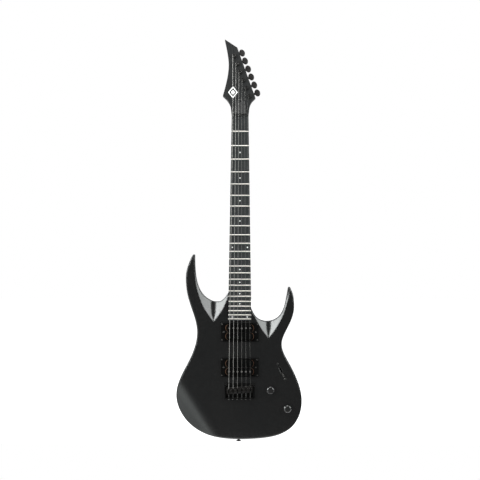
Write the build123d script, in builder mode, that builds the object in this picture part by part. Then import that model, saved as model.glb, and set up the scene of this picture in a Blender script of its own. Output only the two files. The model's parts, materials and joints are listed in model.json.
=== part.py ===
from build123d import *
import math
import os

# Solid-body electric guitar, 25.5 inch scale, 24 frets, fixed string-through bridge.
# Millimetres. +Z runs up the neck, -Y is the front (string side), +X is the treble side.
# The origin is on the centre line, where the neck's top plane meets the front edge of the nut.

# ---------------------------------------------------------------- driving dimensions
SCALE_LENGTH = 647.7
FRET_COUNT = 24
STRING_COUNT = 6

NUT_WIDTH = 40.5
BOARD_END_WIDTH = 55.8
BOARD_LENGTH = 489.5
BOARD_THICK = 6.0
BOARD_RADIUS = 406.4
NUT_THICK = 4.0

FRET_WIDTH = 2.7
FRET_HEIGHT = 1.2
FRET_TANG_DEPTH = 1.7
FRET_TANG_WIDTH = 0.5

BODY_FACE = 2.0
BODY_THICK = 43.0
BODY_BACK = BODY_FACE + BODY_THICK
BODY_TOP_WALL = 6.0
EDGE_RADIUS = 2.0

HEEL_DEPTH = 18.0
HEEL_TOP_Z = -427.0
HEAD_ANGLE = 11.0
HEAD_THICK = 14.0
NECK_DEPTH = 14.6
NECK_SECTIONS = ((-382.0, 15.6, 2.4), (-200.0, 14.8, 2.3), (0.0, NECK_DEPTH, 2.3))
NECK_FULLNESS = 2.3
HEEL_FULLNESS = 5.0
HEAD_FULLNESS = 4.0
HEAD_BLEND = (20.0, 2.3)

STRING_DIAMETERS = (1.17, 0.91, 0.66, 0.43, 0.33, 0.25)
NUT_SPACING = 7.0
BRIDGE_SPACING = 10.35
STRING_OVER_BOARD_AT_NUT = 1.55
STRING_OVER_BOARD_AT_SADDLE = 5.0
SADDLE_STEP = 0.8
STRING_HOLE_Z = -660.5
STRING_BENDS = [3.0, 1.2, 5.0]
BALL_RADIUS = 2.0
BALL_LENGTH = 3.2
WRAP_HALF_TURN = 150.0

DOT_FRETS = (3, 5, 7, 9, 15, 17, 19, 21)
DOUBLE_DOT_FRETS = (12, 24)
DOT_RADIUS = 1.5
DOUBLE_DOT_X = 18.0
DOT_DEPTH = 2.5

PICKUP_Z = (-517.5, -602.1)
PICKUP_TOP_Y = (-7.6, -8.0)
RING_LENGTH = 91.0
RING_WIDTH = 45.4
RING_HEIGHTS = (5.5, 7.0)
RING_CORNER = 4.0
RING_TAPER = 3.0
BOBBIN_LENGTH = 66.4
BOBBIN_WIDTH = 18.4
BOBBIN_HEIGHT = 11.0
BOBBIN_PITCH = 19.6
POLE_SPACING = 10.0

PLATE_WIDTH = 72.4
PLATE_FRONT_Z = -639.0
PLATE_BACK_Z = -677.7
PLATE_THICK = 2.8
PLATE_WALL = 3.0
PLATE_WALL_TOP_Y = -7.0

VOLUME_XZ = (73.8, -656.3)
TONE_XZ = (114.8, -700.7)
KNOB_RADIUS = 9.4
SELECTOR_XZ = (100.2, -611.7)
SELECTOR_LEAN = 25.6
SELECTOR_SCREW_SPACING = 40.6
SELECTOR_SLOT = 23.0
LEVER_REST_ANGLE = 19.0
LEVER_PIVOT_Y = 20.0

COVER_THICK = 2.0
COVER_LEDGE = 6.0

POST_FIRST = (-15.0, 145.9)
POST_STEP = (7.4, -19.95)
POST_TO_BUTTON = 22.7
WORM_OFFSET = 5.4
POST_RADIUS = 3.0
POST_WAIST_RADIUS = 2.5
SHAFT_RADIUS = 1.6
RUNNING_GAP = 0.05

STRAP_BUTTON_RADIUS = 5.8
JACK_BORE_RADIUS = 3.25

RING_SCREW_X = 42.4
RING_SCREW_Z = 18.7
RING_OPEN_LENGTH = 70.6
RING_OPEN_WIDTH = 40.4
RING_HEAD_RADIUS = 1.9
HEIGHT_SCREW_X = 38.7
HEIGHT_SCREW_RADIUS = 1.4
PICKUP_CAVITY_DEPTH = 20.0
FLANGE_THICK = 1.5
CORE_LENGTH = 58.0
CORE_WIDTH = 7.0
COIL_LENGTH = 68.4
COIL_WIDTH = 17.6
POLE_RADIUS = 2.3
POLE_PROUD = 0.5
POLE_SLOT = 0.8
BASE_THICK = 1.0
BASE_EAR_LENGTH = 83.5
BASE_EAR_WIDTH = 9.0
MAGNET_THICK = 3.0
MAGNET_LENGTH = 60.4
MAGNET_WIDTH = 12.0
PILOT_RADIUS = 1.3
PILOT_DEPTH = 12.0

PLATE_LIP = 8.0
PLATE_SCREW_X = 32.8
PLATE_SCREW_Z = -643.0
INTONATION_Y = -4.4
INTONATION_RADIUS = 1.2
HEIGHT_PIN_RADIUS = 1.2
SADDLE_WIDTH = 10.1
SADDLE_LENGTH = 15.6
SADDLE_NOSE = 2.2
SADDLE_DROP = 0.05
SADDLE_NOSE_RADIUS = 1.3
SADDLE_TAIL_RAMP = 5.0
SADDLE_TAIL_RISE = 2.6
SLOT_LEAD = 0.55
SLOT_WALL = 1.2
SADDLE_FLOOR_Y = -1.6
SADDLE_SLOT = 2.6
SPRING_RADIUS = 1.85
SPRING_WIRE = 0.3
FERRULE_RADIUS = 4.0
FERRULE_DEPTH = 8.0
FERRULE_BORE = 2.4

SWITCH_HULL_REACH = 13.0
SWITCH_HULL_RADIUS = 14.0
POT_HULL_RADIUS = 17.0
COVER_SCREWS = ((62.6, -636.0), (88.0, -583.4), (121.6, -628.0), (135.4, -694.0),
                (112.0, -721.0), (68.0, -676.4))
POT_THREAD_RADIUS = 4.7
POT_THREAD_PROUD = 4.0
POT_NUT_RADIUS = 6.6
POT_SHAFT_RADIUS = 3.0
POT_CAN_RADIUS = 11.8
POT_BACK_Y = 18.5
KNOB_GAP = 0.8
KNOB_HEIGHT = 15.0
KNOB_HOLLOW = 5.0
KNOB_RIM = 4.0
KNURL_MARGIN = 4.6
KNOB_CAP = 3.0
KNOB_SCREW_DROP = 6.5
KNOB_SCREW_RADIUS = 1.2
KNURL_COUNT = 36
KNURL_CUT = 0.5
SELECTOR_SLOT_WIDTH = 2.6
SELECTOR_SCREW_RADIUS = 1.5
SWITCH_SHEET = 1.4
SWITCH_DEPTH = 24.0
LEVER_PIN_RADIUS = 1.2
LEVER_HUB_RADIUS = 4.0
LEVER_THICK = 1.4
LEVER_WIDTH = 5.0
LEVER_REACH = 28.0
LEVER_TAIL = 8.0
TIP_HEIGHT = 9.0
TIP_LENGTH = 7.4
TIP_WIDTH = 3.8

FRET_TANG_HALF = FRET_TANG_WIDTH / 2
FRET_END_INSET = 0.3
SIDE_DOT_Y = -2.6
SIDE_DOT_RADIUS = 0.9
SIDE_DOT_DEPTH = 1.5
NUT_HEIGHT = 8.3
NUT_SLOT_GAP = 0.1
NUT_BREAK = 0.5
ROD_WIDTH = 6.2
ROD_DEPTH = 9.2
ROD_LOW_Z = -478.0
ROD_HIGH_Z = 11.0
ROD_NUT_Y = 6.4
ROD_CORE_RADIUS = 2.6
ROD_NUT_RADIUS = 3.2
ROD_NUT_Z = (10.0, 18.0)
ROD_BAR_TOP_Z = -6.0
ROD_COVER_THICK = 2.2
ROD_COVER_SIDE = ((16.2, 1.2), (13.8, 14.0), (11.8, 26.0), (7.4, 34.4))
ROD_COVER_TOP = 39.0
ROD_COVER_EDGE = 0.8
ROD_COVER_SCREW = (0.0, 33.4)
INLAY_UV = (-17.4, 55.4)
INLAY_DEPTH = 0.8

BUSHING_RADIUS = 4.9
WASHER_RADIUS = 6.8
WASHER_THICK = 0.8
HEX_RADIUS = 5.6
HEX_HEIGHT = 2.4
WAIST_LOW = 4.4
WAIST_HIGH = 8.8
POST_TOP = 11.0
POST_FOOT = -23.2
WORM_DEPTH = -20.2
WORM_RADIUS = 1.95
WORM_HALF = 5.6
WHEEL_RADIUS = 3.4
WHEEL_THICK = 4.0
WHEEL_TEETH = 18
WHEEL_TOOTH_GAP = 0.3
HOUSING_WIDTH = 15.0
HOUSING_LENGTH = 19.6
HOUSING_CENTRE_Y = 2.2
HOUSING_DEPTH = 11.6
HOUSING_WALL = 1.4
HOUSING_TAB_X = -10.0
HOUSING_TAB_REACH = -12.8
HOUSING_TAB_WIDTH = 5.8
HOUSING_TAB_THICK = 1.6
TUNER_SCREW_RADIUS = 1.0
TUNER_SCREW_LENGTH = 10.0
TUNER_HEAD_RADIUS = 2.2
TUNER_HEAD_HEIGHT = 1.1
TUNER_CROSS = (2.6, 0.6, 0.6)
BUTTON_COLLAR_X = 10.6
BUTTON_COLLAR_RADIUS = 2.9
BUTTON_COLLAR_LENGTH = 6.4
BUTTON_HALF_WIDTH = 6.8
BUTTON_HALF_LENGTH = 8.9
BUTTON_HALF_THICK = 3.3
BUTTON_EDGE = 2.4

BELLY_RADIUS = 150.0
BELLY_DEPTH = 13.0
BELLY_LEAN = 10.5
FOREARM_LEAN = 15.0
FOREARM_ROLL = 120.0
CUTTER_SIZE = 300.0
NECK_BOLTS = ((-18.0, -441.0), (18.0, -469.0), (-18.0, -486.0), (18.0, -486.0))
NECK_BOLT_RADIUS = 2.3
BOLT_BITE = 14.0
BOLT_CUP_RADIUS = 7.0
BOLT_CUP_DEPTH = 3.6
BOLT_HEAD_RADIUS = 4.4
UPPER_STRAP_XZ = (-116.5, -366.0)
LOWER_STRAP_X = -2.0
STRAP_SINK = 0.4
STRAP_STEPS = ((0.0, 1.6, 5.0), (1.6, 5.0, 3.2), (5.0, 6.8, 5.6))
WIRE_X = 25.0
WIRE_Y = 21.0
WIRE_HOLE = 3.5
WIRE_RADIUS = 1.6
WIRE_END = (66.0, 21.0, -646.0)
JACK_LEAD = ((80.0, 20.4, -664.0), (84.0, 33.0, -672.0), (98.0, 34.0, -692.0), (112.8, 27.8, -708.4))
JACK_FLANGE_RADIUS = 13.0
JACK_FLANGE_THICK = 2.0
JACK_BARREL_RADIUS = 8.0
JACK_CUP_RADIUS = 8.2
JACK_BARREL_LENGTH = 24.0
JACK_HOLE_DEPTH = 30.0
JACK_NUT_RADIUS = 5.8
JACK_NUT_HEIGHT = 2.2
JACK_Y = 27.5

# ---------------------------------------------------------------- outline points (X, Z)
BASS_TIP = ((-107.8, -334.2), (-110.2, -331.5), (-112.7, -332.6))
TREBLE_TIP = ((121.8, -411.5), (119.0, -409.4), (116.1, -411.9))
BASS_NECK_CORNER = (-27.0, -423.0)
TREBLE_NECK_CORNER = (27.6, -460.5)
BODY_BOTTOM = (0.0, -774.6)
BASS_CUTAWAY = ((-37.0, -436.8), (-47.0, -443.8), (-56.2, -444.9), (-69.4, -441.7),
                (-88.4, -427.3), (-100.1, -405.7), (-106.2, -375.0))
BASS_SIDE = ((-118.9, -344.5), (-128.0, -372.0), (-129.2, -398.0), (-123.8, -434.5),
             (-109.8, -478.0), (-102.1, -517.0), (-106.8, -550.0), (-124.8, -593.0),
             (-145.6, -636.0), (-152.1, -672.0), (-138.5, -715.1), (-113.5, -743.9),
             (-72.5, -765.6), (-32.0, -773.0))
TREBLE_SIDE = ((32.0, -773.6), (61.0, -771.0), (89.4, -765.4), (127.3, -743.6),
               (144.3, -715.1), (149.4, -680.0), (139.9, -636.0), (119.2, -592.8),
               (104.6, -564.0), (101.0, -546.0), (108.1, -520.9), (122.2, -492.1),
               (130.2, -464.0), (129.9, -440.0), (125.6, -420.6))
TREBLE_CUTAWAY = ((110.7, -442.0), (103.6, -466.0), (94.8, -479.6), (85.0, -487.0),
                  (68.9, -491.6), (49.7, -488.5), (39.6, -481.4), (31.0, -467.8))

# Hollows behind the cutaways: distance above the point, half width at the face, depth.
SCOOP_ROUND = 18.0
SCOOP_RISE = 2.0
BASS_SCOOP_XZ = (-63.0, -492.5)
BASS_SCOOP = ((0.0, 0.8, 0.3), (14.0, 11.2, 4.6), (30.0, 21.8, 9.0), (50.0, 31.0, 12.9),
              (66.0, 36.5, 15.0), (82.0, 40.8, 18.0), (100.0, 43.8, 24.0), (124.0, 45.6, 32.0),
              (148.0, 46.8, 38.0), (164.0, 47.6, 42.0))
TREBLE_SCOOP_XZ = (69.0, -533.3)
TREBLE_SCOOP = ((0.0, 0.8, 0.3), (14.0, 10.4, 4.4), (33.0, 22.8, 9.8), (50.0, 32.0, 13.4),
                (64.0, 37.8, 15.6), (78.0, 42.0, 19.0), (92.0, 46.0, 26.0), (110.0, 50.0, 35.0),
                (130.0, 52.0, 42.0))

HEAD_TIP = (-37.0, 187.1)
HEAD_TOP_CORNER = (-7.2, 167.0)
HEAD_BASS_CORNER = (-41.4, 47.4)
HEAD_TREBLE_CORNER = (36.7, 41.9)
HEAD_BASS_EDGE = ((-31.2, 158.6), (-27.6, 124.3), (-32.0, 85.1))
HEAD_BASS_FLARE = ((-29.2, 34.5), (-23.0, 22.4))
HEAD_TREBLE_FLARE = ((21.4, 15.0), (24.3, 26.0), (29.0, 34.0))
HEAD_FOOT = -2.0
HEAD_START = 12.0

# ---------------------------------------------------------------- derived places
HEAD_SIN = math.sin(math.radians(HEAD_ANGLE))
HEAD_COS = math.cos(math.radians(HEAD_ANGLE))
HEAD = Plane(origin=(0, 0, NUT_THICK), x_dir=(1, 0, 0), z_dir=(0, -HEAD_COS, HEAD_SIN))
BOARD_AXIS_Y = BOARD_RADIUS - BOARD_THICK
PLATE_TOP_Y = BODY_FACE - PLATE_THICK
BOARD_AXIS = Axis((0, BOARD_AXIS_Y, 0), (0, 0, 1))
FOREARM_NORMAL = Vector(-0.834, 0, -0.552)
FOREARM_PLANE = Plane(origin=(-103.0, BODY_FACE, -705.0),
                      z_dir=(FOREARM_NORMAL * math.sin(math.radians(FOREARM_LEAN))
                             + Vector(0, -1, 0) * math.cos(math.radians(FOREARM_LEAN))))
BELLY_PLANE = Plane(origin=(-103.0, BODY_BACK - BELLY_DEPTH + BELLY_RADIUS, -520.0),
                    z_dir=(math.cos(math.radians(BELLY_LEAN)), math.sin(math.radians(BELLY_LEAN)), 0.25))
JACK_PLANE = Plane(origin=(136.4, JACK_Y, -720.0), x_dir=(0, 1, 0),
                   z_dir=(0.9, 0, -0.436))
CAVITY_CEILING_Y = BODY_FACE + BODY_TOP_WALL
COVER_FRONT_Y = BODY_BACK - COVER_THICK


def front(depth):
    """Plane facing the front of the guitar at Y = depth, with sketch axes X and Z."""
    return Plane.XZ.offset(-depth)


def half_width(z):
    """Half width of the neck at height z, straight taper from the nut to the last fret."""
    return (NUT_WIDTH - (BOARD_END_WIDTH - NUT_WIDTH) * z / BOARD_LENGTH) / 2


def fret_z(number):
    return SCALE_LENGTH * (2 ** (-number / 12) - 1)


def board_top(x):
    """Y of the radiused board surface at distance x from the centre line."""
    return BOARD_AXIS_Y - math.sqrt(BOARD_RADIUS ** 2 - x ** 2)


def neck_outline(z_low, z_high, margin=0.0):
    """Trapezium of the neck between two heights, as sketch points."""
    low = half_width(z_low) + margin
    high = half_width(z_high) + margin
    return [(-low, z_low), (low, z_low), (high, z_high), (-high, z_high)]


def dot_places():
    """Centres of the face dots: single ones on the centre line, pairs at the octaves."""
    places = []
    for number in DOT_FRETS + DOUBLE_DOT_FRETS:
        middle = (fret_z(number) + fret_z(number - 1)) / 2
        offsets = (-DOUBLE_DOT_X, DOUBLE_DOT_X) if number in DOUBLE_DOT_FRETS else (0.0,)
        places.extend((x, middle) for x in offsets)
    return places


def side_dot_places():
    places = []
    for number in DOT_FRETS + DOUBLE_DOT_FRETS:
        middle = (fret_z(number) + fret_z(number - 1)) / 2
        shifts = (-2.2, 2.2) if number in DOUBLE_DOT_FRETS else (0.0,)
        places.extend(middle + shift for shift in shifts)
    return places


# ---------------------------------------------------------------- strings: places and paths
def string_radius(index):
    return STRING_DIAMETERS[index] / 2


def string_x(index, spacing):
    return (index - (STRING_COUNT - 1) / 2) * spacing


def nut_point(index):
    x = string_x(index, NUT_SPACING)
    y = board_top(x) - STRING_OVER_BOARD_AT_NUT - string_radius(index)
    return Vector(x, y, NUT_THICK - NUT_BREAK)


def saddle_z(index):
    """Break point of a string on its saddle, compensated more on the bass side."""
    return -SCALE_LENGTH - 1.0 - SADDLE_STEP * (STRING_COUNT - 1 - index)


def saddle_point(index):
    x = string_x(index, BRIDGE_SPACING)
    y = board_top(x) - STRING_OVER_BOARD_AT_SADDLE - string_radius(index)
    return Vector(x, y, saddle_z(index))


def post_uv(index):
    """Tuner post centre in the headstock plane; the bass string goes to the farthest post."""
    return (POST_FIRST[0] + index * POST_STEP[0], POST_FIRST[1] + index * POST_STEP[1])


def tuner_plane(index):
    """Plane on the headstock face at a post: x points to the button, y along the edge."""
    along = math.hypot(*POST_STEP)
    out = HEAD.x_dir * (-POST_STEP[1] / along) + HEAD.y_dir * (POST_STEP[0] / along)
    u, v = post_uv(index)
    return Plane(origin=HEAD.from_local_coords((u, v, 0)), x_dir=out, z_dir=HEAD.z_dir)


def wrap_points(index):
    """Tangent point on the post, then the middle and end of one turn round it."""
    height = HEAD.to_local_coords(nut_point(index))
    turn_radius = POST_WAIST_RADIUS + RUNNING_GAP + string_radius(index)
    u, v = post_uv(index)
    reach = math.hypot(u - height.X, v - height.Y)
    heading = math.atan2(v - height.Y, u - height.X) + math.asin(turn_radius / reach)
    start = heading + math.pi / 2
    step = math.radians(WRAP_HALF_TURN)
    angles = [start, start - step, start - 2 * step]
    return [HEAD.from_local_coords((u + turn_radius * math.cos(a), v + turn_radius * math.sin(a),
                                    height.Z)) for a in angles]


def make_string(index):
    """One string: ferrule, up through the body, over saddle and nut, once round the post."""
    nut = nut_point(index)
    saddle = saddle_point(index)
    tangent, middle, end = wrap_points(index)
    ferrule = Vector(saddle.X, BODY_BACK - 5.0, STRING_HOLE_Z)
    plate = Vector(saddle.X, PLATE_TOP_Y, STRING_HOLE_Z)
    with BuildPart() as string:
        with BuildLine() as path:
            FilletPolyline(ferrule, plate, saddle, nut, tangent, radius=STRING_BENDS)
            ThreePointArc(tangent, middle, end)
        with BuildSketch(Plane(origin=path.line @ 0, z_dir=path.line % 0)):
            Circle(string_radius(index))
        sweep(path=path.line)
        with BuildSketch(front(BODY_BACK - 2.0)):
            with Locations((saddle.X, STRING_HOLE_Z)):
                Circle(BALL_RADIUS)
        extrude(amount=BALL_LENGTH)
    return string.part


# ---------------------------------------------------------------- body
def body_outline():
    with BuildLine() as outline:
        bass_tip = ThreePointArc(*BASS_TIP)
        treble_tip = ThreePointArc(*TREBLE_TIP)
        Spline(BASS_NECK_CORNER, *BASS_CUTAWAY, bass_tip @ 0,
               tangents=((-0.6, -1.0), bass_tip % 0), tangent_scalars=(0.5, 1.0))
        Spline(bass_tip @ 1, *BASS_SIDE, BODY_BOTTOM, *TREBLE_SIDE, treble_tip @ 0,
               tangents=(bass_tip % 1, treble_tip % 0), tangent_scalars=(1.0, 1.0))
        Spline(treble_tip @ 1, *TREBLE_CUTAWAY, TREBLE_NECK_CORNER,
               tangents=(treble_tip % 1, (-0.35, 1.0)), tangent_scalars=(1.0, 0.5))
        Line(TREBLE_NECK_CORNER, BASS_NECK_CORNER)
    return outline.line


def scoop_section(point, above, half, depth):
    """Rounded V across a hollow in the face, carried a little above it for a clean cut."""
    slope = math.atan(depth / half)
    valley = min(SCOOP_ROUND, half)
    tangent = valley * math.sin(slope)
    side = BODY_FACE + depth - tangent * math.tan(slope)
    bottom = BODY_FACE + depth - valley / math.cos(slope) + valley
    wide = half + SCOOP_RISE * half / depth
    with BuildSketch(Plane.XY.offset(point[1] + above)) as section:
        with BuildLine():
            Line((point[0] + wide, BODY_FACE - SCOOP_RISE), (point[0] + tangent, side))
            ThreePointArc((point[0] + tangent, side), (point[0], bottom), (point[0] - tangent, side))
            Line((point[0] - tangent, side), (point[0] - wide, BODY_FACE - SCOOP_RISE))
            Line((point[0] - wide, BODY_FACE - SCOOP_RISE), (point[0] + wide, BODY_FACE - SCOOP_RISE))
        make_face()
    return section.sketch.face()


def cut_scoop(point, stations):
    loft([scoop_section(point, *station) for station in stations], mode=Mode.SUBTRACT)


def pickup_cavity_sketch(z):
    with Locations((0, z)):
        RectangleRounded(74.0, 42.0, 4.0)
        RectangleRounded(86.0, 16.0, 4.0)


def control_hull(margin):
    """Rounded outline round the switch and both pots, grown by a margin."""
    lean = math.radians(SELECTOR_LEAN)
    for side in (-1, 1):
        centre = (SELECTOR_XZ[0] - side * SWITCH_HULL_REACH * math.sin(lean),
                  SELECTOR_XZ[1] + side * SWITCH_HULL_REACH * math.cos(lean))
        with Locations(centre):
            Circle(SWITCH_HULL_RADIUS + margin)
    for centre in (VOLUME_XZ, TONE_XZ):
        with Locations(centre):
            Circle(POT_HULL_RADIUS + margin)
    make_hull()


def selector_plane(depth):
    """Front-facing plane at the switch, with its y axis along the slot."""
    lean = math.radians(SELECTOR_LEAN)
    return Plane(origin=(SELECTOR_XZ[0], depth, SELECTOR_XZ[1]),
                 x_dir=(math.cos(lean), 0, math.sin(lean)), z_dir=(0, -1, 0))


def selector_screw_places():
    """Screw centres in the sketch of the switch's plane."""
    return [(0, SELECTOR_SCREW_SPACING / 2), (0, -SELECTOR_SCREW_SPACING / 2)]


def string_hole_places():
    return [(string_x(i, BRIDGE_SPACING), STRING_HOLE_Z) for i in range(STRING_COUNT)]


def cut_from_back(places, radius, depth):
    """Round holes bored from the back of the body."""
    with BuildSketch(front(BODY_BACK)) as holes:
        with Locations(*places):
            Circle(radius)
    extrude(holes.sketch, amount=depth, mode=Mode.SUBTRACT)


def cut_from_face(places, radius, depth):
    """Round holes bored from the front of the body."""
    with BuildSketch(front(BODY_FACE)) as holes:
        with Locations(*places):
            Circle(radius)
    extrude(holes.sketch, amount=-depth, mode=Mode.SUBTRACT)


def cut_tube(start, end, radius):
    """Straight round channel between two points inside the wood."""
    run = Vector(*end) - Vector(*start)
    with BuildSketch(Plane(origin=start, z_dir=run)) as hole:
        Circle(radius)
    extrude(hole.sketch, amount=run.length, mode=Mode.SUBTRACT)


def ring_screw_places(z):
    return [(sx * RING_SCREW_X, z + sz * RING_SCREW_Z) for sx in (-1, 1) for sz in (-1, 1)]


def plate_screw_places():
    return [(-PLATE_SCREW_X, PLATE_SCREW_Z), (PLATE_SCREW_X, PLATE_SCREW_Z)]


def make_body():
    """The wooden body: contoured slab with neck pocket, cavities, channels and pilot holes."""
    with BuildPart() as body:
        with BuildSketch(front(BODY_BACK)):
            with BuildLine():
                add(body_outline())
            make_face()
        extrude(amount=BODY_THICK)
        with BuildSketch(FOREARM_PLANE):
            Rectangle(CUTTER_SIZE, CUTTER_SIZE)
        extrude(amount=CUTTER_SIZE, mode=Mode.SUBTRACT)
        at_face = body.edges().filter_by_position(Axis.Y, BODY_FACE - 0.1, BODY_FACE + 0.1)
        crease = at_face.filter_by(GeomType.LINE).filter_by_position(Axis.Z, -780.0, -620.0)
        fillet(crease, FOREARM_ROLL)
        fillet(body.edges().filter_by(GeomType.LINE, reverse=True), EDGE_RADIUS)
        with BuildSketch(BELLY_PLANE):
            Circle(BELLY_RADIUS)
        extrude(amount=CUTTER_SIZE, both=True, mode=Mode.SUBTRACT)
        cut_scoop(BASS_SCOOP_XZ, BASS_SCOOP)
        cut_scoop(TREBLE_SCOOP_XZ, TREBLE_SCOOP)
        with BuildSketch(front(HEEL_DEPTH)):
            Polygon(*neck_outline(-BOARD_LENGTH, -400.0), align=None)
        extrude(amount=HEEL_DEPTH, mode=Mode.SUBTRACT)
        for z in PICKUP_Z:
            with BuildSketch(front(BODY_FACE)):
                pickup_cavity_sketch(z)
            extrude(amount=-PICKUP_CAVITY_DEPTH, mode=Mode.SUBTRACT)
            cut_from_face(ring_screw_places(z), PILOT_RADIUS, PILOT_DEPTH)
        with BuildSketch(front(BODY_BACK)):
            control_hull(0.0)
        extrude(amount=BODY_BACK - CAVITY_CEILING_Y, mode=Mode.SUBTRACT)
        with BuildSketch(front(BODY_BACK)):
            control_hull(COVER_LEDGE)
        extrude(amount=COVER_THICK, mode=Mode.SUBTRACT)
        cut_from_back(COVER_SCREWS, PILOT_RADIUS, PILOT_DEPTH)
        cut_from_back(string_hole_places(), 2.0, BODY_THICK)
        cut_from_back(string_hole_places(), FERRULE_RADIUS, FERRULE_DEPTH)
        cut_from_back(NECK_BOLTS, NECK_BOLT_RADIUS, BODY_THICK)
        cut_from_back(NECK_BOLTS, BOLT_CUP_RADIUS, BOLT_CUP_DEPTH)
        cut_from_face((VOLUME_XZ, TONE_XZ), POT_THREAD_RADIUS, BODY_TOP_WALL)
        cut_from_face(plate_screw_places(), PILOT_RADIUS, PILOT_DEPTH)
        with BuildSketch(selector_plane(CAVITY_CEILING_Y)):
            SlotOverall(SELECTOR_SLOT, SELECTOR_SLOT_WIDTH, rotation=90)
            with GridLocations(1, SELECTOR_SCREW_SPACING, 1, 2):
                Circle(SELECTOR_SCREW_RADIUS)
        extrude(amount=BODY_TOP_WALL, mode=Mode.SUBTRACT)
        cut_tube((WIRE_X, WIRE_Y, PICKUP_Z[0] - 15.0), (WIRE_X, WIRE_Y, PICKUP_Z[1] + 15.0), WIRE_HOLE)
        cut_tube((WIRE_X, WIRE_Y, PICKUP_Z[1] - 10.0), WIRE_END, WIRE_HOLE)
        with BuildSketch(JACK_PLANE):
            Circle(JACK_FLANGE_RADIUS)
        extrude(amount=CUTTER_SIZE, mode=Mode.SUBTRACT)
        with BuildSketch(JACK_PLANE):
            Circle(JACK_CUP_RADIUS)
        extrude(amount=-JACK_HOLE_DEPTH, mode=Mode.SUBTRACT)
        for plane in strap_planes():
            with BuildSketch(plane):
                Circle(STRAP_STEPS[0][2] + RUNNING_GAP)
            extrude(amount=STRAP_STEPS[0][1], mode=Mode.SUBTRACT)
            with BuildSketch(plane):
                Circle(PILOT_RADIUS)
            extrude(amount=-PILOT_DEPTH, mode=Mode.SUBTRACT)
    return body.part


# ---------------------------------------------------------------- neck and headstock
def neck_section(plane, half, depth, squareness):
    """Half oval below a flat top; a higher squareness makes it fuller at the edges."""
    steps = 8
    power = 2 / squareness
    points = []
    for step in range(1, steps):
        angle = math.pi * step / steps
        x = math.copysign(abs(math.cos(angle)) ** power, math.cos(angle))
        points.append((half * x, depth * math.sin(angle) ** power))
    with BuildSketch(plane) as section:
        with BuildLine():
            Line((-half, 0), (half, 0))
            Spline((half, 0), *points, (-half, 0), tangents=((0, 1), (0, -1)),
                   tangent_scalars=(1.0, 1.0))
        make_face()
    return section.sketch.face()


def head_outline():
    with BuildLine() as outline:
        Line((-NUT_WIDTH / 2, HEAD_FOOT), (NUT_WIDTH / 2, HEAD_FOOT))
        Spline((NUT_WIDTH / 2, HEAD_FOOT), *HEAD_TREBLE_FLARE, HEAD_TREBLE_CORNER,
               tangents=((0, 1), (0.7, 0.7)), tangent_scalars=(1.0, 1.0))
        Polyline(HEAD_TREBLE_CORNER, HEAD_TOP_CORNER, HEAD_TIP)
        Spline(HEAD_TIP, *HEAD_BASS_EDGE, HEAD_BASS_CORNER)
        Spline(HEAD_BASS_CORNER, *HEAD_BASS_FLARE, (-NUT_WIDTH / 2, HEAD_FOOT),
               tangents=((0.7, -0.7), (0, -1)), tangent_scalars=(1.0, 1.0))
    return outline.line


def head_section_plane(v):
    """Plane across the headstock at height v, its y axis pointing to the back."""
    return Plane(origin=HEAD.from_local_coords((0, v, 0)), x_dir=(1, 0, 0), z_dir=HEAD.y_dir)


def make_neck():
    with BuildPart() as neck:
        with BuildSketch(HEAD):
            with BuildLine():
                add(head_outline())
            make_face()
        extrude(amount=-HEAD_THICK)
        with BuildSketch(HEAD):
            with Locations((0, HEAD_START / 2 - 20)):
                Rectangle(60, HEAD_START + 40)
        extrude(amount=-HEAD_THICK, mode=Mode.SUBTRACT)
        loft([neck_section(Plane.XY, half_width(0), NECK_DEPTH, NECK_FULLNESS),
              neck_section(head_section_plane(HEAD_BLEND[0]), half_width(0) + HEAD_BLEND[1],
                           HEAD_THICK, HEAD_FULLNESS)])
        loft([neck_section(Plane.XY.offset(HEEL_TOP_Z + 1), half_width(HEEL_TOP_Z), HEEL_DEPTH,
                           HEEL_FULLNESS),
              *[neck_section(Plane.XY.offset(z), half_width(z), depth, fullness)
                for z, depth, fullness in NECK_SECTIONS]])
        with BuildSketch(front(HEEL_DEPTH)):
            Polygon(*neck_outline(-BOARD_LENGTH, HEEL_TOP_Z + 1.5), align=None)
        extrude(amount=HEEL_DEPTH)
        with BuildSketch(front(ROD_DEPTH)):
            with Locations((0, (ROD_LOW_Z + ROD_HIGH_Z) / 2)):
                Rectangle(ROD_WIDTH, ROD_HIGH_Z - ROD_LOW_Z)
        extrude(amount=ROD_DEPTH + 2.0, mode=Mode.SUBTRACT)
        with BuildSketch(HEAD):
            with Locations((0, 15.0)):
                SlotOverall(24.0, ROD_WIDTH + 3.0, rotation=90)
        extrude(amount=-ROD_DEPTH, mode=Mode.SUBTRACT)
        for index in range(STRING_COUNT):
            with BuildSketch(tuner_plane(index)):
                Circle(BUSHING_RADIUS)
                with Locations((HOUSING_TAB_X, 0)):
                    Circle(TUNER_SCREW_RADIUS)
            extrude(amount=-HEAD_THICK - 1.0, mode=Mode.SUBTRACT)
        with BuildSketch(HEAD):
            inlay_sketch()
        extrude(amount=-INLAY_DEPTH, mode=Mode.SUBTRACT)
        with BuildSketch(HEAD):
            with Locations(ROD_COVER_SCREW):
                Circle(1.0)
        extrude(amount=-8.0, mode=Mode.SUBTRACT)
        with BuildSketch(front(HEEL_DEPTH)):
            with Locations(*NECK_BOLTS):
                Circle(NECK_BOLT_RADIUS)
        extrude(amount=BOLT_BITE, mode=Mode.SUBTRACT)
    return neck.part


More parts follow.
